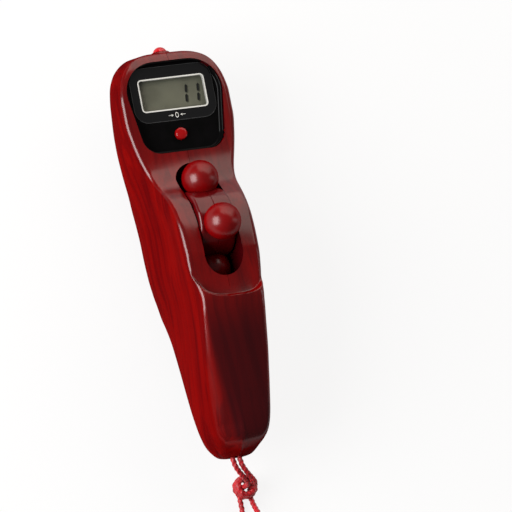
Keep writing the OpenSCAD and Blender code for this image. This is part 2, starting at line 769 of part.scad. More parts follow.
// one loop of the hank runs from u 0 to 1, starting in the middle of the side next to the knot
hank_round = 4 * hank_run + 2 * PI * hank_r;
function hank_flat(s) =
  s < hank_run ? [s, hank_r]
  : s < hank_run + PI * hank_r ? let (a = (s - hank_run) / hank_r * 180 / PI) [hank_run + hank_r * sin(a), hank_r * cos(a)]
  : s < 3 * hank_run + PI * hank_r ? [2 * hank_run + PI * hank_r - s, -hank_r]
  : s < 3 * hank_run + 2 * PI * hank_r ? let (a = (s - 3 * hank_run - PI * hank_r) / hank_r * 180 / PI) [-hank_run - hank_r * sin(a), -hank_r * cos(a)]
  : [s - hank_round, hank_r];
function hank_point(u) =
  let (f = hank_flat((u - floor(u)) * hank_round))
  [hank_x + f[0], hank_y + f[1], hank_z + hank_pitch * u];
hank_top = hank_z + hank_pitch * hank_loops;
hank_near = hank_y + hank_r;
lead_r = 4.5;
lead_x = 2;
knot_out = knot_y - 2.6;
function quarter(cx, cy, z0, z1, a0, a1) = [
  for (k = [0 : 4]) [cx + lead_r * cos(lerp(a0, a1, k / 4)), cy + lead_r * sin(lerp(a0, a1, k / 4)), lerp(z0, z1, k / 4)]
];
lead_low = knot_strand_r + 0.3;
lead_in = concat(
  smooth_route(
    [
      [knot_x - lead_x, knot_out, lead_low], [knot_x - lead_x, knot_out - 3, lead_low],
      [knot_x - lead_x, lerp(knot_out, hank_near + lead_r, 0.7), hank_z - 0.1],
    ],
    3
  ),
  quarter(knot_x - lead_x + lead_r, hank_near + lead_r, hank_z - 0.1, hank_z + 0.2, 180, 270)
);
out_z = hank_top - 0.5;
lead_out = concat(
  quarter(knot_x + lead_x - lead_r, hank_near + lead_r, hank_top - 0.2, out_z, -90, 0),
  [
    for (k = [1 : 8])
      let (t = k / 8)
      [knot_x + lead_x, lerp(hank_near + lead_r, knot_out, t), lerp(out_z, lead_low, (1 - cos(180 * t)) / 2)]
  ]
);
coil = [for (k = [2 : hank_loops * rings_a_loop - 2]) hank_point(k / rings_a_loop)];
hank_route = concat(lead_in, coil, lead_out);
module cord_hank() {
  color("#c01524") tube(hank_route, cord_r, 6, [0, 0, 1]);
}
// least gap of the hank to itself, measured between points more than a third of a loop apart
hank_gap = min([
  for (i = [0 : len(hank_route) - 9])
    for (k = [i + 8 : len(hank_route) - 1]) norm(hank_route[i] - hank_route[k])
]) - cord_d;
echo(hank_gap = hank_gap);
tie_w = 5;
tie_t = 0.5;
module hank_tie() {
  y0 = hank_y - hank_r - cord_r;
  y1 = hank_y + hank_r + cord_r;
  z1 = hank_top + cord_r - hank_pitch * 0.2;
  color("#2a2a2e") translate([hank_x - 7 - tie_w / 2, 0, 0]) difference() {
    box([0, y0 - tie_t, 0.05], [tie_w, y1 + tie_t, z1 + tie_t]);
    box([-1, y0, 0.05 + tie_t], [tie_w + 1, y1, z1]);
  }
}

left_shell();
right_shell();
shell_screw_head();
shell_screw_middle();
shell_screw_tail();
display_bezel();
display_window();
lcd_panel();
contact_strip();
circuit_board();
controller_cap();
board_components();
board_screws();
led_lamp();
led_leads();
reset_dome();
reset_button();
drum_left_half();
drum_right_half();
bead_top();
bead_head();
bead_low();
bead_tail();
drum_screws();
drum_magnets();
drum_axle();
reed_switch();
sensor_leads();
battery_door();
cell_outer();
cell_inner();
cell_plate();
cell_ring();
wire_plate();
wire_ring();
anchor_pin();
wrist_cord();
cord_knot();
cord_hank();
hank_tie();
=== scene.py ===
"""Dresses the red tally counter: lacquered shells, bead drum, readout, lamp and wrist cord."""

import logging
import math
from dataclasses import dataclass
from enum import Enum
from typing import Any, Callable, Sequence

import bmesh
import bpy
import numpy as np
from mathutils import Matrix, Vector


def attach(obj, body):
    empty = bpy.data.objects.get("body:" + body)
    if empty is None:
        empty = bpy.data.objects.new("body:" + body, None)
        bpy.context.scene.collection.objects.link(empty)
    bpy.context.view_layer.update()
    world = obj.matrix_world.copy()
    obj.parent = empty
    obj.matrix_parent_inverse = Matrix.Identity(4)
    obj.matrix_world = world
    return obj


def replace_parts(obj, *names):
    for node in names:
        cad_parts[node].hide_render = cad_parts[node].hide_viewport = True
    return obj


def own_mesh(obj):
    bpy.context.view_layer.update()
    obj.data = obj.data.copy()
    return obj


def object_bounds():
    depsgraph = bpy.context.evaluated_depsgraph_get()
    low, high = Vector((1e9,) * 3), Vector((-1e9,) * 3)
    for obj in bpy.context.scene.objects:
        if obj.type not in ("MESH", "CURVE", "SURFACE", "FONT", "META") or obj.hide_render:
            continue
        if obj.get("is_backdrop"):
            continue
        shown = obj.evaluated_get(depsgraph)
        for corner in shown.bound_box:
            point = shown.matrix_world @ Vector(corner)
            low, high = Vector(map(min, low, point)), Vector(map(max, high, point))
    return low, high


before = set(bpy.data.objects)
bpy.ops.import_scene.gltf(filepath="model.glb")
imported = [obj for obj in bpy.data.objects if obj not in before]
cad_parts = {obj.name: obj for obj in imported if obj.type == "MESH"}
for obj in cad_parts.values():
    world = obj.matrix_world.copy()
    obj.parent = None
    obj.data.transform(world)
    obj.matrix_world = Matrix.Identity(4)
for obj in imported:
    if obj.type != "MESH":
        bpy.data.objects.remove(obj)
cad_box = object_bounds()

logger = logging.getLogger("tally_counter")

MM = 0.001
LEAN = "lean"
Colour = tuple[float, float, float, float]
Point = tuple[float, float, float]
Spot = tuple[float, float]


def screen(red: int, green: int, blue: int) -> Colour:
    """Gives the linear colour of an 8-bit screen colour.

    Args:
        red: Red level, 0 to 255.
        green: Green level, 0 to 255.
        blue: Blue level, 0 to 255.

    Returns:
        The colour in linear light, with an alpha of 1.
    """

    def linear(level: int) -> float:
        """Linear light of one level."""
        part = level / 255
        return part / 12.92 if part <= 0.04045 else ((part + 0.055) / 1.055) ** 2.4

    return linear(red), linear(green), linear(blue), 1.0


def note(piece: bpy.types.Object) -> None:
    """Reports a finished piece."""
    logger.info("%s: %d faces", piece.name, len(piece.data.polygons))


class Body(Enum):
    """The moving bodies of the CAD frame."""

    CASE = "case"
    RESET = "reset"
    DOOR = "door"
    DRUM = "drum"


class Wire:
    """A number that runs between shader nodes, with the usual arithmetic."""

    def __init__(self, look: "Look", socket: bpy.types.NodeSocket) -> None:
        """Keeps the look that the socket belongs to, and the socket."""
        self.look = look
        self.socket = socket

    def _math(self, operation: str, first: Any, second: Any = 0.0) -> "Wire":
        """Adds one Math node and gives its result."""
        return self.look.wire("ShaderNodeMath", {"operation": operation}, {0: first, 1: second})

    def __add__(self, other: Any) -> "Wire":
        """Sum."""
        return self._math("ADD", self, other)

    __radd__ = __add__

    def __sub__(self, other: Any) -> "Wire":
        """Difference."""
        return self._math("SUBTRACT", self, other)

    def __rsub__(self, other: Any) -> "Wire":
        """Difference, from a number."""
        return self._math("SUBTRACT", other, self)

    def __mul__(self, other: Any) -> "Wire":
        """Product."""
        return self._math("MULTIPLY", self, other)

    __rmul__ = __mul__

    def __abs__(self) -> "Wire":
        """Size without sign."""
        return self._math("ABSOLUTE", self)

    def __pow__(self, power: float) -> "Wire":
        """Power."""
        return self._math("POWER", self, power)

    def larger(self, other: Any) -> "Wire":
        """Gives the larger of two values."""
        return self._math("MAXIMUM", self, other)

    def above(self, low: float, high: float) -> "Wire":
        """Rises smoothly from 0 at a low value to 1 at a high one."""
        settings = {"interpolation_type": "SMOOTHSTEP"}
        return self.look.wire("ShaderNodeMapRange", settings, {0: self, 1: low, 2: high, 3: 0.0, 4: 1.0})


class Look:
    """A material and its node tree."""

    def __init__(self, name: str) -> None:
        """Starts a material with the standard shader.

        Args:
            name: The material's name.
        """
        self.material = bpy.data.materials.new(name)
        self.material.use_nodes = True
        self.tree = self.material.node_tree
        self.shader = self.tree.nodes["Principled BSDF"]

    def node(self, kind: str, settings: dict, inputs: dict) -> bpy.types.Node:
        """Adds a node.

        Args:
            kind: The node's type.
            settings: Its properties, set first.
            inputs: Values or wires, by socket name or number.

        Returns:
            The node.
        """
        made = self.tree.nodes.new(kind)
        for key, value in settings.items():
            setattr(made, key, value)
        for key, value in inputs.items():
            self.feed(made.inputs[key], value)
        return made

    def wire(self, kind: str, settings: dict, inputs: dict, output: int | str = 0) -> Wire:
        """Adds a node and gives one of its outputs."""
        return Wire(self, self.node(kind, settings, inputs).outputs[output])

    def feed(self, socket: bpy.types.NodeSocket, value: Any) -> None:
        """Links a wire to a socket, or sets its value.

        Args:
            socket: The socket to feed.
            value: A wire, or a plain value.
        """
        if isinstance(value, Wire):
            self.tree.links.new(value.socket, socket)
        else:
            socket.default_value = value

    def surface(self, **inputs: Any) -> None:
        """Sets the shader's sockets, by name with underscores for spaces."""
        for key, value in inputs.items():
            self.feed(self.shader.inputs[key.replace("_", " ")], value)

    def place(self) -> tuple[Wire, Wire, Wire]:
        """Gives the object coordinates in millimetres.

        Returns:
            The wires of x, y and z.
        """
        spot = self.wire("ShaderNodeTexCoord", {}, {}, "Object")
        apart = self.node("ShaderNodeSeparateXYZ", {}, {0: spot})
        return tuple(Wire(self, socket) * (1 / MM) for socket in apart.outputs)

    def noise(self, spot: Sequence[Any], detail: float = 3.0, rough: float = 0.5) -> Wire:
        """Gives a smooth random value.

        Args:
            spot: Three wires or numbers, in noise cells.
            detail: Octaves of finer noise.
            rough: Weight of the finer noise.

        Returns:
            A value about 0.5.
        """
        vector = self.wire("ShaderNodeCombineXYZ", {}, dict(enumerate(spot)))
        inputs = {"Vector": vector, "Scale": 1.0, "Detail": detail, "Roughness": rough}
        return self.wire("ShaderNodeTexNoise", {}, inputs, "Fac")

    def mix(self, share: Any, first: Any, second: Any) -> Wire:
        """Mixes two colours, with a share of 1 for the second alone."""
        settings = {"data_type": "RGBA", "clamp_factor": True}
        return self.wire("ShaderNodeMix", settings, {0: share, 6: first, 7: second}, 2)

    def facing(self, least: float) -> Wire:
        """Gives 1 where the surface faces the eye, falling to a least value at its rim."""
        rim = self.wire("ShaderNodeLayerWeight", {}, {"Blend": 0.5}, "Facing")
        return 1 - rim * (1 - least)

    def bump(self, height: Wire, distance: float, strength: float = 1.0) -> Wire:
        """Gives a normal for a height in millimetres times distance."""
        inputs = {"Height": height, "Distance": distance * MM, "Strength": strength}
        return self.wire("ShaderNodeBump", {}, inputs, "Normal")


@dataclass(frozen=True)
class Rosewood:
    """Red-stained wood under clear lacquer, with its grain along the length.

    The colour carries painted shade: it goes from the side's colour to the darker front colour where
    the piece's own lean is high, that is on faces turned up, down to a crease line that slants across
    the handle's front, and fully on faces in hollows. Lengths and places are in millimetres.
    """

    name: str
    side: Colour = screen(114, 5, 4)
    # painted shade: the darker colour laid on faces turned up and in hollows
    front: Colour = screen(64, 3, 7)
    pore: Colour = screen(40, 1, 5)
    grain: float = 1.0
    gloss: float = 0.18
    least: float = 0.03
    handle_y: float = -16.0
    handle_fall: float = 0.3
    sway: float = 9.0
    slant_y: float = -24.0
    slant: float = 0.26
    # where the painted shade on the handle's front ends, and how much more of it the tail takes
    crease_x: float = -11.5
    crease_y: float = -26.0
    crease_slant: float = 0.21
    tail_lift: float = 0.24

    def painted_shade(self, x: Wire, y: Wire, lean: Wire, front_lean: Wire) -> Wire:
        """Gives how far the painted shade darkens the wood.

        Args:
            x: Place across the body.
            y: Place along the body.
            lean: The piece's lean, past 1 on faces in hollows that take painted shade.
            front_lean: The lean, raised at the tail.

        Returns:
            0 for the side's colour, 1 for the front's.
        """
        # painted shade on faces turned up, past the crease line and on the handle, fading out toward the
        # head; hollows take it fully
        past_crease = x - self.crease_x - self.crease_slant * (self.crease_y - y)
        crease = past_crease.above(-1.8, 1.2).larger(y.above(-34.0, -22.0))
        dark_front = front_lean.above(0.7, 0.985) * (0.25 + 0.75 * crease)
        outside = dark_front * (1 - 0.85 * y.above(-36.0, -12.0))
        return outside.larger(lean.above(1.2, 1.8))

    def make(self) -> bpy.types.Material:
        """Builds the lacquered wood.

        Returns:
            The material.
        """
        look = Look(self.name)
        x, y, z = look.place()
        lean = look.wire("ShaderNodeAttribute", {"attribute_name": LEAN}, {}, "Fac")
        # the lean raised at the tail, which gives the tail's front more painted shade
        front_lean = lean + self.tail_lift * (1 - y.above(-64.0, -50.0))
        level = z + self.handle_fall * (self.handle_y - y).larger(0.0)
        sway = look.noise((x * 0.03, y * 0.02, level * 0.03), 1.0) * self.sway
        slant = (self.slant_y - y).larger(0.0) * front_lean.above(0.6, 0.99) * self.slant
        across = x + sway - slant
        deep = level + sway
        bands = look.noise((across * 0.1, y * 0.006, deep * 0.1), 2.0)
        lines = look.noise((across * 0.42, y * 0.009, deep * 0.42), 2.0)
        pores = look.noise((x * 1.5, y * 0.02, level * 1.5), 2.0)
        marks = (
            (1 - bands.above(0.3, 0.6), 0.36),
            (1 - lines.above(0.34, 0.58), 0.36),
            (pores.above(0.54, 0.76), 0.22),
        )
        # painted shade mixed into the wood's colour
        colour = look.mix(self.painted_shade(x, y, lean, front_lean), self.side, self.front)
        for mark, strength in marks:
            colour = look.mix(mark * (strength * self.grain), colour, self.pore)
        look.surface(
            Base_Color=colour,
            Roughness=0.34 + 0.1 * lines,
            Specular_IOR_Level=0.0,
            Coat_Weight=(self.least + (1 - self.least) * lean.above(0.45, 0.75)) * look.facing(0.25),
            Coat_Roughness=self.gloss,
            Normal=look.bump(bands + 0.4 * lines, 0.04, 0.3),
        )
        return look.material


@dataclass(frozen=True)
class Lacquer:
    """Glossy moulded or painted plastic with a faint orange peel."""

    name: str
    tint: Colour
    shade: Colour
    rough: float = 0.18
    coat: float = 1.0
    peel: float = 0.006
    clear: float = 0.0
    gloss: float = 0.06

    def make(self) -> bpy.types.Material:
        """Builds the plastic.

        Returns:
            The material.
        """
        look = Look(self.name)
        x, y, z = look.place()
        cloud = look.noise((x * 0.22, y * 0.22, z * 0.22))
        peel = look.noise((x * 1.3, y * 1.3, z * 1.3), 1.0)
        look.surface(
            Base_Color=look.mix(cloud.above(0.35, 0.65), self.shade, self.tint),
            Roughness=self.rough + 0.06 * cloud,
            Specular_IOR_Level=0.0,
            Coat_Weight=self.coat * look.facing(0.0) ** 2.0,
            Coat_Roughness=self.gloss,
            Transmission_Weight=self.clear,
            Normal=look.bump(peel, self.peel),
        )
        return look.material


@dataclass(frozen=True)
class Metal:
    """Plated or turned metal with fine rubbed marks."""

    name: str
    tint: Colour = screen(196, 196, 194)
    rough: float = 0.26
    dulled: float = 0.7

    def make(self) -> bpy.types.Material:
        """Builds the metal.

        Returns:
            The material.
        """
        look = Look(self.name)
        x, y, z = look.place()
        rub = look.noise((x * 5, y * 5, z * 0.8))
        dull = look.noise((x * 0.5, y * 0.5, z * 0.5), 2.0)
        darker = tuple(part * self.dulled for part in self.tint[:3]) + (1.0,)
        look.surface(
            Base_Color=look.mix(dull.above(0.4, 0.75), self.tint, darker),
            Metallic=1.0,
            Roughness=self.rough + 0.15 * rub,
        )
        return look.material


@dataclass(frozen=True)
class Readout:
    """The reflective display: a grey-green film with a fine speckle."""

    name: str
    tint: Colour = screen(121, 122, 103)
    shade: Colour = screen(106, 107, 90)

    def make(self) -> bpy.types.Material:
        """Builds the display film.

        Returns:
            The material.
        """
        look = Look(self.name)
        x, y, z = look.place()
        wash = look.noise((x * 0.12, y * 0.12, z * 0.12), 2.0)
        speck = look.noise((x * 9, y * 9, z * 9), 1.0)
        look.surface(
            Base_Color=look.mix(wash.above(0.3, 0.7), self.shade, self.tint),
            Roughness=0.42 + 0.12 * speck,
        )
        return look.material


@dataclass(frozen=True)
class Rounded:
    """A rectangle with round corners, in millimetres."""

    centre_y: float
    half_x: float
    half_y: float
    corner: float

    def reach(self, x: Wire, y: Wire) -> Wire:
        """Measures a point against the rectangle.

        Args:
            x: Place across the body.
            y: Place along the body.

        Returns:
            How far outside the point lies.
        """
        wide = (abs(x) - (self.half_x - self.corner)).larger(0.0)
        tall = (abs(y - self.centre_y) - (self.half_y - self.corner)).larger(0.0)
        return (wide * wide + tall * tall) ** 0.5 - self.corner


@dataclass(frozen=True)
class Pane:
    """The clear front: black back print, a thin pale frame line, a clear opening and a painted highlight
    along its edge.
    """

    name: str
    view: Rounded
    edge: Rounded
    line: float = 0.46
    blur: float = 0.05
    black: Colour = screen(13, 13, 14)
    pale: Colour = screen(226, 226, 220)
    # painted highlight along the pane's edge
    edge_highlight: Colour = screen(74, 75, 75)
    clear: Colour = screen(60, 62, 58)
    clear_alpha: float = 0.13

    def make(self) -> bpy.types.Material:
        """Builds the printed pane.

        Returns:
            The material.
        """
        look = Look(self.name)
        x, y, z = look.place()
        reach = self.view.reach(x, y)
        outside = reach.above(-self.blur, self.blur)
        beyond = reach.above(self.line - self.blur, self.line + self.blur)
        haze = look.noise((x * 0.2, y * 0.2, z), 2.0)
        # painted highlight: a faint grey band just inside the pane's edge
        edge_highlight_mask = self.edge.reach(x, y).above(-0.34, -0.22) * (0.35 + 0.6 * haze)
        ground = look.mix(edge_highlight_mask, self.black, self.edge_highlight)
        print_colour = look.mix(beyond, self.pale, ground)
        look.surface(
            Base_Color=look.mix(outside, self.clear, print_colour),
            Alpha=self.clear_alpha + (1 - self.clear_alpha) * outside,
            Roughness=0.05 + 0.04 * haze,
            Coat_Weight=1.0,
            Coat_Roughness=0.03,
        )
        return look.material


@dataclass(frozen=True)
class Yarn:
    """Twisted nylon cord, with fine fibres along each strand."""

    name: str
    bright: Colour = screen(208, 16, 30)
    deep: Colour = screen(128, 4, 14)

    def make(self) -> bpy.types.Material:
        """Builds the cord's fibre look.

        Returns:
            The material.
        """
        look = Look(self.name)
        x, y, z = look.place()
        fibre = look.noise((x * 6, y * 2.2, z * 6), 3.0, 0.6)
        patch = look.noise((x * 0.6, y * 0.6, z * 0.6), 2.0)
        light = (fibre * 0.7 + patch * 0.3).above(0.35, 0.65)
        look.surface(
            Base_Color=look.mix(light, self.deep, self.bright),
            Roughness=0.36 + 0.2 * patch,
            Sheen_Weight=0.12,
            Sheen_Roughness=0.35,
            Normal=look.bump(fibre, 0.09, 0.6),
        )
        return look.material


@dataclass(frozen=True)
class Backdrop:
    """The plain pale floor, which looks nearly white and still takes a shadow."""

    name: str = "floor_paper"
    pale: Colour = screen(246, 246, 246)
    shade: Colour = screen(243, 243, 243)
    white_share: float = 0.85

    def make(self) -> bpy.types.Material:
        """Builds the paper floor.

        Returns:
            The material.
        """
        look = Look(self.name)
        x, y, _ = look.place()
        tooth = look.noise((x * 0.02, y * 0.02, 0.0), 2.0)
        look.surface(
            Base_Color=look.mix(tooth, self.pale, self.shade),
            Roughness=0.9,
            Specular_IOR_Level=0.1,
        )
        rays = look.node("ShaderNodeLightPath", {}, {})
        camera, glossy, through = (
            Wire(look, rays.outputs[f"Is {way} Ray"]) for way in ("Camera", "Glossy", "Transmission")
        )
        share = camera.larger(glossy).larger(through) * self.white_share
        white = look.wire("ShaderNodeEmission", {}, {"Color": screen(255, 255, 255), "Strength": 1.0})
        paper = Wire(look, look.shader.outputs[0])
        both = look.wire("ShaderNodeMixShader", {}, {0: share, 1: paper, 2: white})
        look.feed(look.tree.nodes["Material Output"].inputs["Surface"], both)
        return look.material


class Palette:
    """Makes each finish once and hands it out by its slot name."""

    FINISHES: dict[str, Any] = {
        "rosewood_shell": Rosewood("shell_rosewood"),
        # the drum's red is darker than the shell's as painted shade: it sits down in its well
        "rosewood_drum": Rosewood("drum_rosewood", screen(92, 5, 8), grain=0.45, least=0.9),
        "bead_red": Lacquer(
            "bead_lacquer", screen(118, 3, 5), screen(108, 3, 5), rough=0.38, peel=0.003, gloss=0.27
        ),
        "black_bezel": Lacquer("bezel_black", screen(11, 10, 11), screen(8, 8, 8), rough=0.24, coat=0.2),
        "lcd_grey": Readout("readout_film"),
        "strip_pink": Lacquer(
            "strip_rubber", screen(226, 150, 150), screen(210, 132, 134), rough=0.5, coat=0.0
        ),
        "board_green": Lacquer("board_mask", screen(24, 96, 48), screen(18, 78, 40), rough=0.3, coat=0.6),
        "chip_black": Lacquer("chip_resin", screen(26, 26, 27), screen(19, 19, 20), rough=0.45, coat=0.0),
        "part_tan": Lacquer("part_ceramic", screen(184, 142, 96), screen(160, 120, 80), rough=0.45, coat=0.0),
        "steel": Metal("screw_steel"),
        "lamp_red": Lacquer(
            "lamp_epoxy", screen(226, 18, 34), screen(206, 10, 26), rough=0.08, peel=0.002, clear=0.35
        ),
        "button_red": Lacquer("button_plastic", screen(152, 12, 14), screen(140, 9, 11), rough=0.2),
        "magnet_grey": Metal("magnet_nickel", screen(170, 170, 172), 0.2),
        "reed_glass": Lacquer(
            "reed_tube", screen(190, 214, 205), screen(176, 202, 194), rough=0.06, peel=0.002, clear=0.6
        ),
        "cell_metal": Metal("cell_steel", screen(206, 207, 208), 0.22),
        "wire_red": Lacquer("wire_red_sleeve", screen(190, 24, 24), screen(168, 18, 18), rough=0.4, coat=0.0),
        "wire_black": Lacquer(
            "wire_black_sleeve", screen(30, 30, 31), screen(22, 22, 23), rough=0.4, coat=0.0
        ),
        "cord_red": Yarn("cord_nylon"),
        "tie_dark": Lacquer("tie_strip", screen(40, 38, 38), screen(30, 29, 29), rough=0.5, coat=0.0),
    }

    def __init__(self) -> None:
        """Starts with no material made."""
        self.made: dict[str, bpy.types.Material] = {}

    def get(self, slot: str) -> bpy.types.Material:
        """Gives the material of a slot, made on its first use.

        Args:
            slot: The record's material slot.

        Returns:
            The material.
        """
        if slot not in self.made:
            self.made[slot] = self.FINISHES[slot].make()
        return self.made[slot]

    def dress(self, piece: bpy.types.Object, slot: str) -> bpy.types.Object:
        """Puts one finish on a piece.

        Args:
            piece: The mesh object.
            slot: The record's material slot.

        Returns:
            The piece.
        """
        piece.data.materials.clear()
        piece.data.materials.append(self.get(slot))
        return piece


class Shape:
    """Mesh making: everything is given in millimetres and kept in metres."""

    @staticmethod
    def mesh(name: str, points: Any, faces: Sequence[Any], crease: float = 35.0) -> bpy.types.Object:
        """Makes a mesh object with outward faces.

        Args:
            name: The object's name.
            points: Rows of x, y, z in millimetres.
            faces: Point numbers of each face.
            crease: Edges sharper than this angle stay crisp, in degrees.

        Returns:
            The object, linked to the scene.
        """
        data = bpy.data.meshes.new(name)
        data.from_pydata((np.asarray(points, float) * MM).tolist(), [], [list(face) for face in faces])
        piece = Shape.link(name, data)
        Shape.clean(piece, crease)
        return piece

    @staticmethod
    def link(name: str, data: Any) -> bpy.types.Object:
        """Makes an object of some data and links it to the scene.

        Args:
            name: The object's name.
            data: Its mesh, lamp or camera.

        Returns:
            The object.
        """
        piece = bpy.data.objects.new(name, data)
        bpy.context.collection.objects.link(piece)
        return piece

    @staticmethod
    def clean(piece: bpy.types.Object, crease: float) -> None:
        """Merges doubles, turns the faces outwards and sets the shading.

        Args:
            piece: The mesh object.
            crease: Edges sharper than this angle stay crisp, in degrees.
        """
        work = bmesh.new()
        work.from_mesh(piece.data)
        bmesh.ops.remove_doubles(work, verts=work.verts, dist=1e-6)
        bmesh.ops.recalc_face_normals(work, faces=work.faces)
        work.to_mesh(piece.data)
        work.free()
        Shape.shade(piece, crease)

    @staticmethod
    def shade(piece: bpy.types.Object, crease: float) -> None:
        """Shades a piece smooth, with crisp edges past an angle.

        Args:
            piece: The mesh object.
            crease: The angle, in degrees.
        """
        piece.data.polygons.foreach_set("use_smooth", [True] * len(piece.data.polygons))
        piece.data.set_sharp_from_angle(angle=math.radians(crease))
        piece.data.update()

    @staticmethod
    def flatten(piece: bpy.types.Object) -> None:
        """Shades the faces that look straight up or down flat.

        Args:
            piece: The mesh object.
        """
        for face in piece.data.polygons:
            if abs(face.normal.z) > 0.999:
                face.use_smooth = False

    @staticmethod
    def mark_lean(piece: bpy.types.Object, inside: Callable[[np.ndarray], np.ndarray]) -> None:
        """Gives a piece an attribute with the upward lean of its surface, unbroken up to its sharp edges.

        Args:
            piece: The piece, in its final shape.
            inside: Tells, for millimetre rows, which faces get a lean past 1, for the painted shade in
                hollows.
        """
        sharp, dark_lean = 0.25, 3.0
        data = piece.data
        counts = [face.loop_total for face in data.polygons]
        vertices = np.zeros(len(data.loops), dtype=np.int32)
        data.loops.foreach_get("vertex_index", vertices)
        lean = np.array([vertex.normal.z for vertex in data.vertices])[vertices]
        face_lean = np.repeat(np.array([face.normal.z for face in data.polygons]), counts)
        lean = np.where(np.abs(face_lean - lean) > sharp, face_lean, lean)
        # faces in hollows get a lean past 1, which the wood turns into painted shade
        hidden = np.repeat(inside(np.array([face.center[:] for face in data.polygons]) / MM), counts)
        layer = data.attributes.new(LEAN, "FLOAT", "CORNER")
        layer.data.foreach_set("value", np.where(hidden, dark_lean, lean).astype(np.float32))

    @staticmethod
    def arc(x: float, y: float, radius: float, first: float, last: float, steps: int = 12) -> list[Spot]:
        """Gives the points of a round corner about x, y, with its angles in degrees."""
        turns = np.radians(np.linspace(first, last, steps + 1))
        return [(x + radius * math.cos(turn), y + radius * math.sin(turn)) for turn in turns]

    @staticmethod
    def rounded(low: Spot, high: Spot, corner: float, grow: float, steps: int = 12) -> list[Spot]:
        """Gives the outline of a rectangle with round corners.

        Args:
            low: Its lowest corner.
            high: Its highest corner.
            corner: Radius of its corners.
            grow: How far the outline is then grown.
            steps: Steps round each corner.

        Returns:
            The points, counterclockwise.
        """
        left, right = low[0] + corner, high[0] - corner
        foot, top = low[1] + corner, high[1] - corner
        made = []
        for number, (x, y) in enumerate(((right, foot), (right, top), (left, top), (left, foot))):
            made += Shape.arc(x, y, corner + grow, 90 * number - 90, 90 * number, steps)
        return made

    @staticmethod
    def loft(name: str, rings: Sequence[Any]) -> bpy.types.Object:
        """Joins closed rings of points into a capped solid.

        Args:
            name: The object's name.
            rings: Rings of the same number of points.

        Returns:
            The object.
        """
        count = len(rings[0])
        last = (len(rings) - 1) * count
        faces = []
        for low in range(0, last, count):
            for spot in range(count):
                after = (spot + 1) % count
                faces.append((low + spot, low + after, low + count + after, low + count + spot))
        faces += [tuple(range(count)), tuple(range(last, last + count))]
        return Shape.mesh(name, np.concatenate([np.asarray(ring, float) for ring in rings]), faces)

    @staticmethod
    def stack(name: str, levels: Sequence[tuple[Sequence[Spot], float]]) -> bpy.types.Object:
        """Joins flat outlines, each with its height, into a capped solid."""
        return Shape.loft(name, [[(x, y, z) for x, y in outline] for outline, z in levels])

    @staticmethod
    def prism(name: str, outline: Sequence[Spot], low: float, high: float) -> bpy.types.Object:
        """Makes a straight block of an outline, between two heights."""
        return Shape.stack(name, [(outline, low), (outline, high)])

    @staticmethod
    def hoop(name: str, loops: Sequence[Any], crease: float) -> bpy.types.Object:
        """Joins closed loops of points into a ring, the last loop to the first.

        Args:
            name: The object's name.
            loops: Loops of the same number of points.
            crease: Edges sharper than this angle stay crisp, in degrees.

        Returns:
            The object.
        """
        count = len(loops[0])
        total = len(loops) * count
        faces = []
        for low in range(0, total, count):
            high = (low + count) % total
            for spot in range(count):
                after = (spot + 1) % count
                faces.append((low + spot, low + after, high + after, high + spot))
        return Shape.mesh(name, np.concatenate([np.asarray(loop, float) for loop in loops]), faces, crease)

    @staticmethod
    def lathe(
        name: str,
        profile: Sequence[Spot],
        place: Callable[[float, float, float], Point],
        steps: int,
    ) -> bpy.types.Object:
        """Turns a profile of (radius, height) about an axis.

        Args:
            name: The object's name.
            profile: Points from pole to pole, with radius 0 at both ends.
            place: Puts the turned (across, over, height) into the part's frame.
            steps: Steps round the turn.

        Returns:
            The object.
        """
        points = [place(0.0, 0.0, profile[0][1])]
        turns = [math.tau * step / steps for step in range(steps)]
        inner = profile[1:-1]
        for radius, height in inner:
            points += [place(radius * math.cos(turn), radius * math.sin(turn), height) for turn in turns]
        points.append(place(0.0, 0.0, profile[-1][1]))
        faces = []
        for step in range(steps):
            after = (step + 1) % steps
            faces.append((0, 1 + step, 1 + after))
            for row in range(len(inner) - 1):
                low = 1 + row * steps
                faces.append((low + step, low + steps + step, low + steps + after, low + after))
            low = 1 + (len(inner) - 1) * steps
            faces.append((len(points) - 1, low + after, low + step))
        return Shape.mesh(name, points, faces)

    @staticmethod
    def evaluated(piece: bpy.types.Object) -> bpy.types.Mesh:
        """Gives a piece's mesh as its modifiers leave it.

        Args:
            piece: The mesh object.

        Returns:
            A new plain mesh.
        """
        graph = bpy.context.evaluated_depsgraph_get()
        graph.update()
        return bpy.data.meshes.new_from_object(piece.evaluated_get(graph))

    @staticmethod
    def apply(piece: bpy.types.Object) -> None:
        """Turns a piece's modifiers into its mesh.

        Args:
            piece: The mesh object.
        """
        final = Shape.evaluated(piece)
        piece.modifiers.clear()
        piece.data = final

    @staticmethod
    def combine(piece: bpy.types.Object, tool: bpy.types.Object, operation: str = "DIFFERENCE") -> None:
        """Cuts, joins or crosses a piece with a tool, and removes the tool.

        Args:
            piece: The piece to change.
            tool: The solid that is used up.
            operation: DIFFERENCE, UNION or INTERSECT.
        """
        step = piece.modifiers.new(operation.lower(), "BOOLEAN")
        step.operation = operation
        step.object = tool
        step.solver = "MANIFOLD"
        Shape.apply(piece)
        bpy.data.objects.remove(tool)

    @staticmethod
    def mirrored(piece: bpy.types.Object, name: str) -> bpy.types.Object:
        """Copies a piece to the other side of the middle plane.

        Args:
            piece: The mesh object.
            name: The copy's name.

        Returns:
            The copy.
        """
        points = np.array([vertex.co[:] for vertex in piece.data.vertices]) / MM
        faces = [face.vertices[:] for face in piece.data.polygons]
        return Shape.mesh(name, points * np.array([-1, 1, 1]), faces)

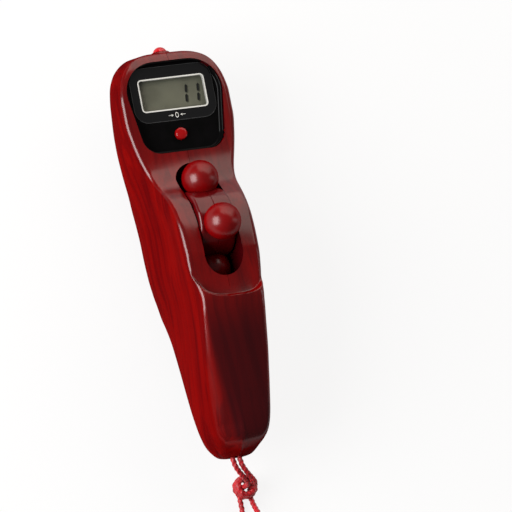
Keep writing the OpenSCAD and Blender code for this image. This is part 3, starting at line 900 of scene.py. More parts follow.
    @staticmethod
    def node_copy(node: str, name: str, width: float) -> bpy.types.Object:
        """Copies a CAD node's mesh, merged, with its crisp edges rounded.

        Args:
            node: The CAD node's name.
            name: The new piece's name.
            width: Width of the edge rounding, in millimetres.

        Returns:
            The new piece, standing for the node.
        """
        piece = Shape.link(name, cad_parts[node].data.copy())
        Shape.clean(piece, 30.0)
        work = bmesh.new()
        work.from_mesh(piece.data)
        bmesh.ops.dissolve_limit(work, angle_limit=math.radians(0.5), verts=work.verts, edges=work.edges)
        work.to_mesh(piece.data)
        work.free()
        step = piece.modifiers.new("edge_round", "BEVEL")
        step.width = width * MM
        step.segments = 2
        step.limit_method = "ANGLE"
        step.angle_limit = math.radians(40.0)
        Shape.apply(piece)
        Shape.shade(piece, 35.0)
        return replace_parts(piece, node)


class NodeTree:
    """A Geometry Nodes tree made in the script, and its use as a modifier."""

    def __init__(self, name: str) -> None:
        """Starts a tree with one geometry in and one geometry out.

        Args:
            name: The tree's name.
        """
        self.tree = bpy.data.node_groups.new(name, "GeometryNodeTree")
        self.tree.is_modifier = True
        for way in ("INPUT", "OUTPUT"):
            self.tree.interface.new_socket("Geometry", in_out=way, socket_type="NodeSocketGeometry")
        self.source = self.tree.nodes.new("NodeGroupInput")
        self.drain = self.tree.nodes.new("NodeGroupOutput")
        self.names: dict[str, str] = {}

    def size(self, name: str, kind: str = "NodeSocketFloat") -> bpy.types.NodeSocket:
        """Adds a named input.

        Args:
            name: The input's name.
            kind: Its socket type.

        Returns:
            The socket that carries it.
        """
        made = self.tree.interface.new_socket(name, in_out="INPUT", socket_type=kind)
        self.names[name] = made.identifier
        return self.source.outputs[name]

    def node(self, kind: str, settings: dict, inputs: dict, output: int | str = 0) -> bpy.types.NodeSocket:
        """Adds a node.

        Args:
            kind: The node's type.
            settings: Its properties, set first.
            inputs: Values or sockets, by socket name or number; a list links several to one socket.
            output: The output that is wanted.

        Returns:
            That output's socket.
        """
        made = self.tree.nodes.new(kind)
        for key, value in settings.items():
            setattr(made, key, value)
        for key, value in inputs.items():
            for each in value if isinstance(value, list) else [value]:
                if isinstance(each, bpy.types.NodeSocket):
                    self.tree.links.new(each, made.inputs[key])
                else:
                    made.inputs[key].default_value = each
        return made.outputs[output]

    def times(self, first: Any, second: Any) -> bpy.types.NodeSocket:
        """Multiplies two numbers."""
        return self.node("ShaderNodeMath", {"operation": "MULTIPLY"}, {0: first, 1: second})

    def close(self, geometry: bpy.types.NodeSocket, material: bpy.types.NodeSocket) -> None:
        """Ends the tree with real meshes in one material.

        Args:
            geometry: What the tree has made.
            material: The material's socket.
        """
        real = self.node("GeometryNodeRealizeInstances", {}, {"Geometry": geometry})
        smooth = self.node("GeometryNodeSetShadeSmooth", {}, {0: real})
        dressed = self.node("GeometryNodeSetMaterial", {}, {"Geometry": smooth, "Material": material})
        self.tree.links.new(dressed, self.drain.inputs[0])

    def run(self, piece: bpy.types.Object, values: dict[str, Any]) -> bpy.types.Object:
        """Runs the tree on a piece and keeps the result as a plain mesh.

        Args:
            piece: The object that feeds the tree, which is used up.
            values: The inputs, by their names.

        Returns:
            A mesh object under the piece's name.
        """
        step = piece.modifiers.new("nodes", "NODES")
        step.node_group = self.tree
        for name, value in values.items():
            step[self.names[name]] = value
        final = Shape.evaluated(piece)
        name = piece.name
        bpy.data.objects.remove(piece)
        return Shape.link(name, final)


@dataclass(frozen=True)
class Panel:
    """One soft lamp: the way to it, and its distance, size, power and colour, in metres and watts."""

    name: str
    toward: Point
    distance: float
    size: Spot
    power: float
    tint: Point = (1.0, 1.0, 1.0)

    def make(self, aim: Vector) -> None:
        """Makes the lamp, facing a point.

        Args:
            aim: The point, in metres.
        """
        data = bpy.data.lights.new(self.name, "AREA")
        data.shape = "RECTANGLE"
        data.size, data.size_y = self.size
        data.energy = self.power
        data.color = self.tint
        piece = Shape.link(self.name, data)
        way = Vector(self.toward).normalized()
        piece.location = aim + way * self.distance
        piece.rotation_euler = way.to_track_quat("Z", "Y").to_euler()


@dataclass
class Studio:
    """The camera at the photograph's angle, the floor and the lamps."""

    toward: Vector = Vector((-0.371, -0.151, 0.917))
    lean: float = 11.0
    aim: Vector = Vector((15.7, -6.4, 30.6)) * MM
    distance: float = 2.0
    lens: float = 413.8
    sensor: float = 36.0
    nearest: float = 0.01
    floor_half: float = 3000.0
    surround: float = 0.1

    PANELS = (
        Panel("key_left", (-0.9, 0.05, 0.45), 0.9, (0.7, 0.6), 12.0),
        Panel("beyond_head", (0.37, 0.8, 0.47), 1.2, (1.6, 1.36), 15.5, (1.0, 0.9, 0.82)),
        Panel("fill_right", (0.9, -0.1, 0.45), 1.0, (0.25, 0.7), 1.0),
    )

    def camera(self) -> None:
        """Makes the scene's camera, turned so that the body leans in the picture."""
        back = self.toward.normalized()
        length = Vector((0, 1, 0))
        along = (length - back * length.dot(back)).normalized()
        across = along.cross(back)
        tilt = math.radians(self.lean)
        right = across * math.cos(tilt) - along * math.sin(tilt)
        up = across * math.sin(tilt) + along * math.cos(tilt)
        data = bpy.data.cameras.new("camera")
        data.lens = self.lens
        data.sensor_width = self.sensor
        data.clip_start = self.nearest
        data.dof.use_dof = False
        piece = Shape.link("camera", data)
        turn = Matrix((right, up, back)).transposed().to_4x4()
        piece.matrix_world = Matrix.Translation(self.aim + back * self.distance) @ turn
        bpy.context.scene.camera = piece

    def floor(self) -> None:
        """Makes the pale floor."""
        half = self.floor_half
        corners = [(-half, -half, 0), (half, -half, 0), (half, half, 0), (-half, half, 0)]
        piece = Shape.mesh("floor", corners, [(0, 1, 2, 3)])
        piece.data.materials.append(Backdrop().make())
        piece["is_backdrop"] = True

    def light(self) -> None:
        """Sets the even surroundings and the lamps."""
        world = bpy.data.worlds.new("studio")
        world.use_nodes = True
        background = world.node_tree.nodes["Background"]
        background.inputs["Color"].default_value = (1, 1, 1, 1)
        background.inputs["Strength"].default_value = self.surround
        bpy.context.scene.world = world
        for panel in self.PANELS:
            panel.make(self.aim)

    def build(self) -> None:
        """Makes the camera, floor and lamps."""
        self.camera()
        self.floor()
        self.light()
        bpy.context.scene.view_settings.view_transform = "Standard"


@dataclass
class WristCord:
    """One cord, round its pin in the handle, out through the tail, knotted, and put away in a hank."""

    palette: Palette
    cord_d: float = 2.0
    strand_x: float = 1.25
    pin_y: float = -61.85
    pin_z: float = 19.0
    turn_r: float = 4.25
    tail_end: float = -71.85
    hole_z: float = 17.0
    knot_x: float = 6.6
    knot_y: float = -80.75
    knot_top: float = 7.0
    knot_out: float = -83.35
    wrap_r: float = 1.15
    wrap_turns: float = 3.0
    wrap_core: float = 2.0
    wrap_swell: float = 1.15
    wrap_low: float = 1.2
    wrap_rise: float = 4.65
    lead_x: float = 2.0
    lead_r: float = 4.5
    lead_low: float = 1.45
    hank_x: float = 7.0
    hank_y: float = -106.85
    hank_run: float = 12.0
    hank_r: float = 6.0
    hank_pitch: float = 2.6
    hank_z: float = 1.6
    loops: int = 3
    loop_points: int = 24
    tie_shift: float = -7.0
    tie_half: float = 2.5
    tie_thick: float = 0.5
    tie_corner: float = 1.4
    tie_low: float = 0.55
    twist_length: float = 5.2
    strands: int = 3
    hollow: float = 0.8

    def strand(self, side: int, rise: float) -> list[Point]:
        """Gives a strand's points from the handle to the knot.

        Args:
            side: 1 or -1, the strand's side.
            rise: How far its inner end stands off the hole's middle.

        Returns:
            The points in millimetres.
        """
        x = side * self.strand_x
        start_y, low = self.tail_end - 0.5, self.knot_top + 1.8
        points = [
            (x, self.tail_end + 4.4, self.hole_z + rise),
            (x, self.tail_end + 1.8, self.hole_z + 0.1 * rise),
        ]
        for turn in range(0, 91, 18):
            fall, drop = math.sin(math.radians(turn)), math.cos(math.radians(turn))
            y = start_y + (self.knot_y - start_y) * fall
            points.append((x + self.knot_x * fall**2, y, low + (self.hole_z - low) * drop))
        points.append((x + self.knot_x, self.knot_y, self.knot_top - 0.5))
        return points

    def pin_turn(self) -> list[Point]:
        """Gives the turn round the pin, from one strand over to the other.

        Returns:
            The points in millimetres.
        """
        turns = (-44, -9, 26, 61, 95, 130, 165, 200)
        points = []
        for turn in turns:
            share = (turn - turns[0]) / (turns[-1] - turns[0])
            y = self.pin_y + self.turn_r * math.sin(math.radians(turn))
            z = self.pin_z + self.turn_r * math.cos(math.radians(turn))
            points.append((self.strand_x * math.cos(math.pi * share), y, z))
        return points

    def flat_spot(self, share: float) -> Spot:
        """Gives a spot on the hank's flat loop, from the middle of its near side.

        Args:
            share: How many times round.

        Returns:
            Its x and y, in millimetres.
        """
        run, radius = self.hank_run, self.hank_r
        half = 2 * run + math.pi * radius
        way = (share * 2 * half + run) % (2 * half)
        side = 1 if way < half else -1
        way %= half
        x, y = way - run, radius
        if way > 2 * run:
            turn = (way - 2 * run) / radius
            x, y = run + radius * math.sin(turn), radius * math.cos(turn)
        return self.hank_x + side * x, self.hank_y + side * y

    def quarter(self, x: float, y: float, low: float, high: float, first: float) -> list[Point]:
        """Gives five points on a quarter bend about x, y, from an angle and a low height to a high one."""
        flat = Shape.arc(x, y, self.lead_r, first, first + 90, 4)
        return [(*spot, low + (high - low) * number / 4) for number, spot in enumerate(flat)]

    def hank(self) -> list[Point]:
        """Gives the hank with its two leads, from the knot and back to it.

        Returns:
            The points in millimetres.
        """
        near = self.hank_y + self.hank_r + self.lead_r
        top = self.hank_z + self.hank_pitch * self.loops
        first_x, last_x = self.knot_x - self.lead_x, self.knot_x + self.lead_x
        points = [
            (first_x, self.knot_out, self.lead_low),
            (first_x, self.knot_out - 3, self.lead_low),
            (first_x, self.knot_out + (near - self.knot_out) * 0.7, self.hank_z - 0.1),
        ]
        points += self.quarter(first_x + self.lead_r, near, self.hank_z - 0.1, self.hank_z + 0.2, 180)
        for step in range(2, self.loops * self.loop_points - 1):
            share = step / self.loop_points
            points.append((*self.flat_spot(share), self.hank_z + self.hank_pitch * share))
        out = top - 0.5
        points += self.quarter(last_x - self.lead_r, near, top - 0.2, out, -90)
        for step in range(1, 9):
            share = step / 8
            ease = (1 - math.cos(math.pi * share)) / 2
            points.append((last_x, near + (self.knot_out - near) * share, out + (self.lead_low - out) * ease))
        return points

    def route(self) -> np.ndarray:
        """Gives the cord's middle line, from the top of the pin and back to it.

        Returns:
            Rows of x, y, z in millimetres.
        """
        turn = self.pin_turn()
        middle = len(turn) // 2
        inside = self.knot_y - 0.4
        down = [(self.knot_x - 1.6, inside, 3.6), (self.knot_x - 1.9, inside - 0.9, 1.9)]
        climb = [(self.knot_x + 1.9, inside - 0.9, 1.9), (self.knot_x + 1.6, inside, 3.6)]
        first = turn[middle:] + self.strand(-1, -0.4) + down
        second = climb + self.strand(1, 1.2)[::-1] + turn[:middle]
        return self.smooth(np.array(first + self.hank() + second), 4)

    @staticmethod
    def smooth(points: np.ndarray, steps: int) -> np.ndarray:
        """Puts a smooth curve through points.

        Args:
            points: Rows of x, y, z.
            steps: Points for each span.

        Returns:
            The finer rows.
        """
        padded = np.vstack([2 * points[0] - points[1], points, 2 * points[-1] - points[-2]])
        rows = []
        for spot in range(len(points) - 1):
            a, b, c, d = padded[spot : spot + 4]
            bend = 2 * a - 5 * b + 4 * c - d
            twist = 3 * b - a - 3 * c + d
            for step in range(steps):
                t = step / steps
                rows.append(0.5 * (2 * b + (c - a) * t + bend * t * t + twist * t**3))
        rows.append(points[-1])
        return np.array(rows)

    def rope_tree(self) -> NodeTree:
        """Makes the tree that lays twisted strands along a line.

        Returns:
            The tree.
        """
        tree = NodeTree("twisted_cord")
        radius = tree.size("Cord Radius")
        lay = tree.size("Twists Per Metre")
        strands = tree.size("Strands", "NodeSocketInt")
        spacing = tree.size("Point Spacing")
        material = tree.size("Finish", "NodeSocketMaterial")
        line = tree.node("GeometryNodeMeshToCurve", {}, {"Mesh": tree.source.outputs["Geometry"]})
        fine = tree.node("GeometryNodeResampleCurve", {"mode": "LENGTH"}, {"Curve": line, "Length": spacing})
        along = tree.node("GeometryNodeSplineParameter", {}, {}, "Length")
        angle = tree.times(tree.times(along, lay), math.tau)
        twisted = tree.node("GeometryNodeSetCurveTilt", {}, {"Curve": fine, "Tilt": angle})
        star = {"Points": strands, "Inner Radius": tree.times(radius, self.hollow), "Outer Radius": radius}
        lobes = tree.node("GeometryNodeCurveStar", {}, star)
        soft_lobes = tree.node("GeometryNodeCurveSplineType", {"spline_type": "CATMULL_ROM"}, {0: lobes})
        profile = tree.node("GeometryNodeResampleCurve", {}, {"Curve": soft_lobes, "Count": 18})
        parts = {"Curve": twisted, "Profile Curve": profile, "Fill Caps": True}
        tree.close(tree.node("GeometryNodeCurveToMesh", {}, parts), material)
        return tree

    def rope(
        self, tree: NodeTree, name: str, line: np.ndarray, radius: float, spacing: float
    ) -> bpy.types.Object:
        """Lays a twisted rope along a line.

        Args:
            tree: The tree from rope_tree.
            name: The piece's name.
            line: Rows of x, y, z in millimetres.
            radius: The rope's outer radius in millimetres.
            spacing: Distance between its rings in millimetres.

        Returns:
            The rope.
        """
        data = bpy.data.meshes.new(name)
        links = [(spot, spot + 1) for spot in range(len(line) - 1)]
        data.from_pydata((line * MM).tolist(), links, [])
        values = {
            "Cord Radius": radius * MM,
            "Twists Per Metre": 1 / (self.twist_length * MM),
            "Strands": self.strands,
            "Point Spacing": spacing * MM,
            "Finish": self.palette.get("cord_red"),
        }
        piece = tree.run(Shape.link(name, data), values)
        Shape.clean(piece, 80.0)
        return piece

    def knot_line(self) -> np.ndarray:
        """Gives the line of the knot's wraps, a rising coil with both ends tucked in.

        Returns:
            Rows of x, y, z in millimetres.
        """
        rows = []
        for share in np.linspace(0, 1, 91):
            tuck = min(1.0, 6 * share, 6 * (1 - share))
            angle = math.tau * self.wrap_turns * share
            reach = self.wrap_core + self.wrap_swell * math.sin(tuck * math.pi / 2)
            x, y = self.knot_x + reach * math.cos(angle), self.knot_y + reach * math.sin(angle)
            rows.append((x, y, self.wrap_low + self.wrap_rise * share))
        return np.array(rows)

    def tie(self) -> bpy.types.Object:
        """Makes the soft band round the hank.

        Returns:
            The band.
        """
        reach = self.hank_r + self.cord_d / 2
        low = self.hank_y - reach, self.tie_low
        top = self.hank_z + self.hank_pitch * (self.loops - 0.2) + self.cord_d / 2
        high = self.hank_y + reach, top
        inner = Shape.rounded(low, high, self.tie_corner, 0.0, 5)
        outer = Shape.rounded(low, high, self.tie_corner, self.tie_thick, 5)
        inside, outside = [], []
        for wide in np.linspace(-self.tie_half, self.tie_half, 9):
            x = self.hank_x + self.tie_shift + wide
            sag = 0.06 * math.cos(wide * 2.4)
            inside.append([(x, y, z) for y, z in inner])
            outside.append([(x, y, max(0.05, z - sag)) for y, z in outer])
        return self.palette.dress(Shape.hoop("hank_band", inside + outside[::-1], 40.0), "tie_dark")

    def build(self) -> None:
        tree = self.rope_tree()
        line = self.route()
        cord = self.rope(tree, "wrist_loop", line, self.cord_d / 2, 0.55)
        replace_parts(cord, "wrist_cord", "cord_hank")
        knot = self.rope(tree, "loop_knot", self.knot_line(), self.wrap_r, 0.5)
        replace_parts(knot, "cord_knot")
        band = self.tie()
        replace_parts(band, "hank_tie")
        for piece in (cord, knot, band):
            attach(piece, Body.CASE.value)
            note(piece)


@dataclass
class BeadDrum:
    """The turning drum in the slot, in two halves, with its ring of beads."""

    palette: Palette
    drum_y: float = 6.85
    drum_z: float = 30.7
    drum_r: float = 11.6
    drum_half: float = 6.5
    rim_r: float = 1.1
    rim_in: float = 0.12
    seam: float = 0.18
    bore_r: float = 1.55
    bead_r: float = 6.3
    bead_pitch: float = 15.46
    bead_count: int = 4
    bead_first: float = -9.0
    seat_gap: float = 0.05
    stem_r: float = 1.6

    def half(self, name: str, side: int) -> bpy.types.Object:
        """Makes one half of the drum, with a soft rim and a fine seam.

        Args:
            name: The piece's name.
            side: 1 for the right half, -1 for the left.

        Returns:
            The half.
        """
        profile = [(self.bore_r, 0.0), (self.drum_r - self.seam, 0.0), (self.drum_r, self.seam)]
        profile += [(self.drum_r - 0.02 * step, 0.9 * step) for step in range(1, 6)]
        rim_x, rim_y = self.drum_r - self.rim_in - self.rim_r, self.drum_half - self.rim_r
        profile += Shape.arc(rim_x, rim_y, self.rim_r, 0, 90, 7)
        profile.append((self.bore_r, self.drum_half))
        turns = np.linspace(0, math.tau, 160, endpoint=False)
        loops = []
        for radius, height in profile:
            over, up = radius * np.cos(turns), radius * np.sin(turns)
            x = np.full(len(turns), side * height)
            loops.append(np.column_stack([x, self.drum_y + over, self.drum_z + up]))
        return Shape.hoop(name, loops, 38.0)

    def socket_tool(self) -> bpy.types.Object:
        """Makes the cutter for the bead seats.

        Returns:
            The balls as one solid.
        """
        radius = self.bead_r + self.seat_gap
        profile = [(0.0, -radius)]
        profile += [(radius * math.cos(a), radius * math.sin(a)) for a in np.linspace(-1.55, 1.55, 49)]
        profile.append((0.0, radius))
        tool = None
        for spot in range(self.bead_count):
            turn = math.radians(self.bead_first) + math.tau * spot / self.bead_count
            way = Vector((0, math.sin(turn), math.cos(turn)))
            middle = Vector((0, self.drum_y, self.drum_z)) + way * self.bead_pitch
            spin = way.to_track_quat("Z", "Y")

            def place(a: float, b: float, h: float) -> Point:
                """Puts a turned point round this bead's middle."""
                return tuple(middle + spin @ Vector((a, b, h)))

            ball = Shape.lathe("bead_seat", profile, place, 96)
            if tool is None:
                tool = ball
            else:
                Shape.combine(tool, ball, "UNION")
        return tool

    def bead_tree(self) -> NodeTree:
        """Makes the tree that sets balls on stems round a ring.

        Returns:
            The tree.
        """
        tree = NodeTree("bead_ring")
        count = tree.size("Bead Count", "NodeSocketInt")
        radius = tree.size("Bead Radius")
        pitch = tree.size("Pitch Radius")
        stem = tree.size("Stem Radius")
        material = tree.size("Finish", "NodeSocketMaterial")
        ring = tree.node("GeometryNodeMeshCircle", {}, {"Vertices": count, "Radius": pitch})
        ball_sizes = {"Segments": 96, "Rings": 64, "Radius": radius}
        ball = tree.node("GeometryNodeMeshUVSphere", {}, ball_sizes, "Mesh")
        rod_sizes = {"Vertices": 32, "Radius": stem, "Depth": tree.times(pitch, 0.5)}
        rod = tree.node("GeometryNodeMeshCylinder", {}, rod_sizes, "Mesh")
        sunk = tree.node("ShaderNodeCombineXYZ", {}, {"X": 0.0, "Y": 0.0, "Z": tree.times(pitch, -0.27)})
        seated = tree.node("GeometryNodeTransform", {}, {"Geometry": rod, "Translation": sunk})
        bead = tree.node("GeometryNodeJoinGeometry", {}, {0: [ball, seated]})
        outward = tree.node("GeometryNodeInputPosition", {}, {})
        spin = tree.node("FunctionNodeAlignRotationToVector", {"axis": "Z"}, {"Vector": outward})
        copies = {"Points": ring, "Instance": bead, "Rotation": spin}
        tree.close(tree.node("GeometryNodeInstanceOnPoints", {}, copies), material)
        return tree

    def beads(self) -> bpy.types.Object:
        """Makes the ring of beads on the drum.

        Returns:
            The beads as one piece.
        """
        values = {
            "Bead Count": self.bead_count,
            "Bead Radius": self.bead_r * MM,
            "Pitch Radius": self.bead_pitch * MM,
            "Stem Radius": self.stem_r * MM,
            "Finish": self.palette.get("bead_red"),
        }
        piece = self.bead_tree().run(Shape.link("beads", bpy.data.meshes.new("beads")), values)
        # the tree's ring starts on X; the drum's starts on top, with its axle along X
        up = Matrix(((0, 0, 1), (0, 1, 0), (1, 0, 0))).to_4x4()
        flip = Matrix.Scale(-1, 4, Vector((1, 0, 0)))
        place = Matrix.Translation(Vector((0, self.drum_y, self.drum_z)) * MM)
        first = Matrix.Rotation(math.radians(-self.bead_first), 4, "X")
        piece.data.transform(place @ first @ flip @ up)
        Shape.clean(piece, 60.0)
        return piece

    def build(self) -> None:
        """Makes the drum halves and the beads."""
        nodes = ("bead_top", "bead_head", "bead_low", "bead_tail")
        made = [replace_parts(self.beads(), *nodes)]
        for name, node, side in (("drum_left", "drum_left_half", -1), ("drum_right", "drum_right_half", 1)):
            piece = self.half(name, side)
            Shape.combine(piece, self.socket_tool())
            Shape.clean(piece, 38.0)
            made.append(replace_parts(self.palette.dress(piece, "rosewood_drum"), node))
        for piece in made:
            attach(piece, Body.DRUM.value)
            note(piece)


@dataclass
class DisplayHead:
    """The black bezel with its pane and readout, the reset button and the lamp."""

    palette: Palette
    bezel_half: float = 17.5
    foot_in: float = 2.2
    top_corner: float = 11.0
    foot_corner: float = 6.5
    side_turn: float = -4.0
    bezel_y0: float = 33.45
    bezel_y1: float = 65.65
    bezel_top: float = 25.2
    bezel_floor: float = 23.2
    bezel_under: float = 21.7
    bezel_gap: float = 0.02
    rim: float = 0.7
    rim_h: float = 0.45
    cut_low: float = 20.0
    cut_high: float = 30.0
    view_w: float = 23.5
    view_h: float = 10.7
    view_y: float = 54.45
    view_corner: float = 1.0
    view_gap: float = 0.6
    pane_w: float = 30.4
    pane_y0: float = 44.85
    pane_y1: float = 64.35
    pane_low: float = 22.4
    pane_top: float = 23.4
    pane_corner: float = 5.0
    pane_gap: float = 0.12
    figure_h: float = 6.6
    figure_w: float = 3.6
    figure_drop: float = 0.2
    stroke_w: float = 0.92
    stroke_gap: float = 0.16
    slant: float = 0.12
    shadow_shift: float = 0.34
    mark_drop: float = 2.3
    mark_line: float = 0.16
    zero_w: float = 0.62
    zero_h: float = 0.95
    zero_in: float = 0.72
    arrow_tip: float = 1.25
    arrow_end: float = 3.1
    arrow_neck: float = 0.5
    arrow_long: float = 0.7
    arrow_half: float = 0.45
    reset_y: float = 40.05
    reset_r: float = 2.05
    reset_gap: float = 0.15
    reset_bevel: float = 0.35
    reset_soft: float = 0.5
    stem_r: float = 1.2
    stem_foot: float = 19.1
    flange_out: float = 1.1
    flange_low: float = 20.9
    flange_top: float = 21.6
    board_top: float = 18.2
    dome_h: float = 0.9
    dome_r: float = 2.2
    dome_foot: float = 0.1
    dome_left: float = 0.19
    led_z: float = 18.45
    led_r: float = 2.5
    led_base: float = 61.65
    led_tip: float = 71.85
    led_ring: float = 0.3

    # middle of each figure's place on the readout
    FIGURES = (3.7, 8.1)

    def outline(self, grow: float) -> list[Spot]:
        """Gives the bezel's outline, grown by a distance.

        Args:
            grow: The distance.

        Returns:
            The points, counterclockwise.
        """
        foot, top = self.foot_corner, self.top_corner
        foot_x = self.bezel_half - self.foot_in - foot
        right = Shape.arc(foot_x, self.bezel_y0 + foot, foot + grow, -90, self.side_turn)
        right += Shape.arc(self.bezel_half - top, self.bezel_y1 - top, top + grow, self.side_turn, 90)
        return right + [(-x, y) for x, y in reversed(right)]

    def pane_outline(self, grow: float) -> list[Spot]:
        """Gives the pane's outline, grown by a distance."""
        half = self.pane_w / 2
        return Shape.rounded((-half, self.pane_y0), (half, self.pane_y1), self.pane_corner, grow)

    def on_button(self, across: float, over: float, height: float) -> Point:
        """Puts a turned point round the button's axis."""
        return across, self.reset_y + over, height

    def seat_wall(self, points: np.ndarray) -> np.ndarray:
        """Tells which points lie on the wall of the bezel's seat in the shells, where the wood takes painted
        shade.

        Args:
            points: Rows of x, y, z in millimetres.

        Returns:
            True or False for each row.
        """
        near, under_top = 0.05, 0.2
        wide = np.maximum(np.abs(points[:, 0]) - (self.bezel_half - self.top_corner), 0)
        tall = np.maximum(points[:, 1] - (self.bezel_y1 - self.top_corner), 0)
        inside = np.hypot(wide, tall) < self.top_corner + near
        return inside & (points[:, 1] > self.bezel_y0 - near) & (points[:, 2] < self.bezel_top - under_top)

    def bezel(self) -> bpy.types.Object:
        """Makes the bezel: a raised round rim about a sunk floor.

        Returns:
            The bezel.
        """
        gap, rim, floor = self.bezel_gap, self.rim, self.bezel_floor
        shoulder = self.bezel_top - self.rim_h
        steps = [(-gap, self.bezel_under), (-gap, shoulder)]
        for turn in np.radians(np.linspace(0, 180, 11)[1:-1]):
            across = (rim / 2 - gap) * math.cos(turn)
            steps.append((-rim / 2 + across, shoulder + self.rim_h * math.sin(turn)))
        steps += [(-rim, self.bezel_top - 0.5), (-rim - 0.1, floor + 0.35)]
        steps += [(-rim - 0.22, floor + 0.12), (-rim - 0.5, floor)]
        piece = Shape.stack("bezel", [(self.outline(grow), z) for grow, z in steps])
        seat = self.pane_outline(self.pane_gap)
        Shape.combine(piece, Shape.prism("pane_seat", seat, self.pane_low, self.cut_high))
        half_x, half_y = self.view_w / 2 + self.view_gap, self.view_h / 2 + self.view_gap
        near, far = self.view_y - half_y, self.view_y + half_y
        view = [(-half_x, near), (half_x, near), (half_x, far), (-half_x, far)]
        Shape.combine(piece, Shape.prism("view_hole", view, self.cut_low, self.cut_high))
        hole_r = self.reset_r + self.reset_gap
        mouth_r = hole_r + self.reset_bevel
        hole = [(0, self.cut_low), (hole_r, self.cut_low), (hole_r, floor - 0.05)]
        hole += [(mouth_r, floor + 0.3), (mouth_r, self.cut_high), (0, self.cut_high)]
        Shape.combine(piece, Shape.lathe("button_hole", hole, self.on_button, 64))
        Shape.clean(piece, 40.0)
        Shape.flatten(piece)
        self.palette.dress(piece, "black_bezel")
        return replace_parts(piece, "display_bezel")

    def pane(self) -> bpy.types.Object:
        """Makes the printed clear pane with a softened edge.

        Returns:
            The pane.
        """
        top = self.pane_top
        steps = [(0.0, self.pane_low), (0.0, top - 0.22), (-0.08, top - 0.06), (-0.25, top)]
        piece = Shape.stack("window", [(self.pane_outline(grow), z) for grow, z in steps])
        Shape.flatten(piece)
        view = Rounded(self.view_y, self.view_w / 2, self.view_h / 2, self.view_corner)
        middle, half_y = (self.pane_y0 + self.pane_y1) / 2, (self.pane_y1 - self.pane_y0) / 2
        edge = Rounded(middle, self.pane_w / 2, half_y, self.pane_corner)
        piece.data.materials.append(Pane("window_print", view, edge).make())
        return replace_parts(piece, "display_window")

    @staticmethod
    def plates(name: str, outlines: Sequence[Sequence[Spot]], low: float, high: float) -> bpy.types.Object:
        """Makes one piece of several thin flat plates.

        Args:
            name: The piece's name.
            outlines: The outline of each plate.
            low: Height of their underside.
            high: Height of their top.

        Returns:
            The piece.
        """
        points: list[Point] = []
        faces: list[tuple[int, ...]] = []
        for outline in outlines:
            first, count = len(points), len(outline)
            second = first + count
            points += [(x, y, z) for z in (low, high) for x, y in outline]
            faces += [tuple(reversed(range(first, second))), tuple(range(second, second + count))]
            for spot in range(count):
                after = (spot + 1) % count
                faces.append((first + spot, first + after, second + after, second + spot))
        return Shape.mesh(name, points, faces)

    def figures(self, name: str, shift: float, thick: float) -> bpy.types.Object:
        """Makes the two figures of the readout, both a slanted one of two strokes.

        Args:
            name: The piece's name.
            shift: How far right and down they lie.
            thick: Their thickness.

        Returns:
            The figures as one piece.
        """
        half, reach = self.figure_h / 4 - self.stroke_gap, self.stroke_w / 2
        stroke = [(-reach, -half + reach), (0, -half), (reach, -half + reach)]
        stroke += [(reach, half - reach), (0, half), (-reach, half - reach)]
        level = self.view_y - self.figure_drop - shift
        outlines = []
        for middle in self.FIGURES:
            x = middle + shift + self.figure_w / 2
            for y in (self.figure_h / 4, -self.figure_h / 4):
                outlines.append([(x + a + self.slant * (y + b), level + y + b) for a, b in stroke])
        return self.plates(name, outlines, self.bezel_under, self.bezel_under + thick)

    def digits(self) -> bpy.types.Object:
        """Makes the dark figures on the readout."""
        return self.palette.dress(self.figures("figures", 0.0, 0.03), "chip_black")

    def digit_shadows(self) -> bpy.types.Object:
        """Makes the faint shadow that the figures cast on the film behind them.

        Returns:
            The shadows as one piece.
        """
        piece = self.figures("figure_shadows", self.shadow_shift, 0.012)
        finish = Lacquer("figure_shade", screen(84, 85, 72), screen(78, 79, 67), rough=0.5, coat=0.0)
        piece.data.materials.append(finish.make())
        return piece

    def zero_mark(self) -> bpy.types.Object:
        """Makes the pale mark under the view: a zero between two arrows.

        Returns:
            The mark.
        """
        y, half, count = self.view_y - self.view_h / 2 - self.mark_drop, self.mark_line / 2, 24
        turns = [math.tau * step / count for step in range(count)]
        outlines = []
        for first, last in zip(turns, turns[1:] + turns[:1]):
            link = []
            for turn, reach in ((first, 1.0), (last, 1.0), (last, self.zero_in), (first, self.zero_in)):
                link.append((self.zero_w * reach * math.cos(turn), y + self.zero_h * reach * math.sin(turn)))
            outlines.append(link)
        for side in (-1, 1):
            tip, end = self.arrow_tip * side, self.arrow_end * side
            neck, barb = tip + self.arrow_neck * side, tip + self.arrow_long * side
            outlines.append([(neck, y - half), (end, y - half), (end, y + half), (neck, y + half)])
            outlines.append([(tip, y), (barb, y - self.arrow_half), (barb, y + self.arrow_half)])
        piece = self.plates("zero_mark", outlines, self.pane_top - 0.01, self.pane_top + 0.02)
        ink = Lacquer("mark_ink", screen(222, 222, 216), screen(206, 206, 200), rough=0.5, coat=0.0)
        piece.data.materials.append(ink.make())
        return piece

    def button(self) -> bpy.types.Object:
        """Makes the reset button with its soft rim and flange.

        Returns:
            The button.
        """
        top, radius, soft = self.bezel_top - 0.5, self.reset_r, self.reset_soft
        flange = radius + self.flange_out
        profile = [(0, self.stem_foot), (self.stem_r, self.stem_foot), (self.stem_r, self.flange_low)]
        profile += [(flange, self.flange_low), (flange, self.flange_top), (radius, self.flange_top)]
        profile.append((radius, top - soft))
        for turn in np.radians(np.linspace(0, 80, 7)[1:]):
            profile.append((radius - soft + soft * math.cos(turn), top - soft + 0.44 * math.sin(turn)))
        profile += [(1.0, top - 0.02), (0, top)]
        piece = Shape.lathe("reset_cap", profile, self.on_button, 72)
        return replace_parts(self.palette.dress(piece, "button_red"), "reset_button")

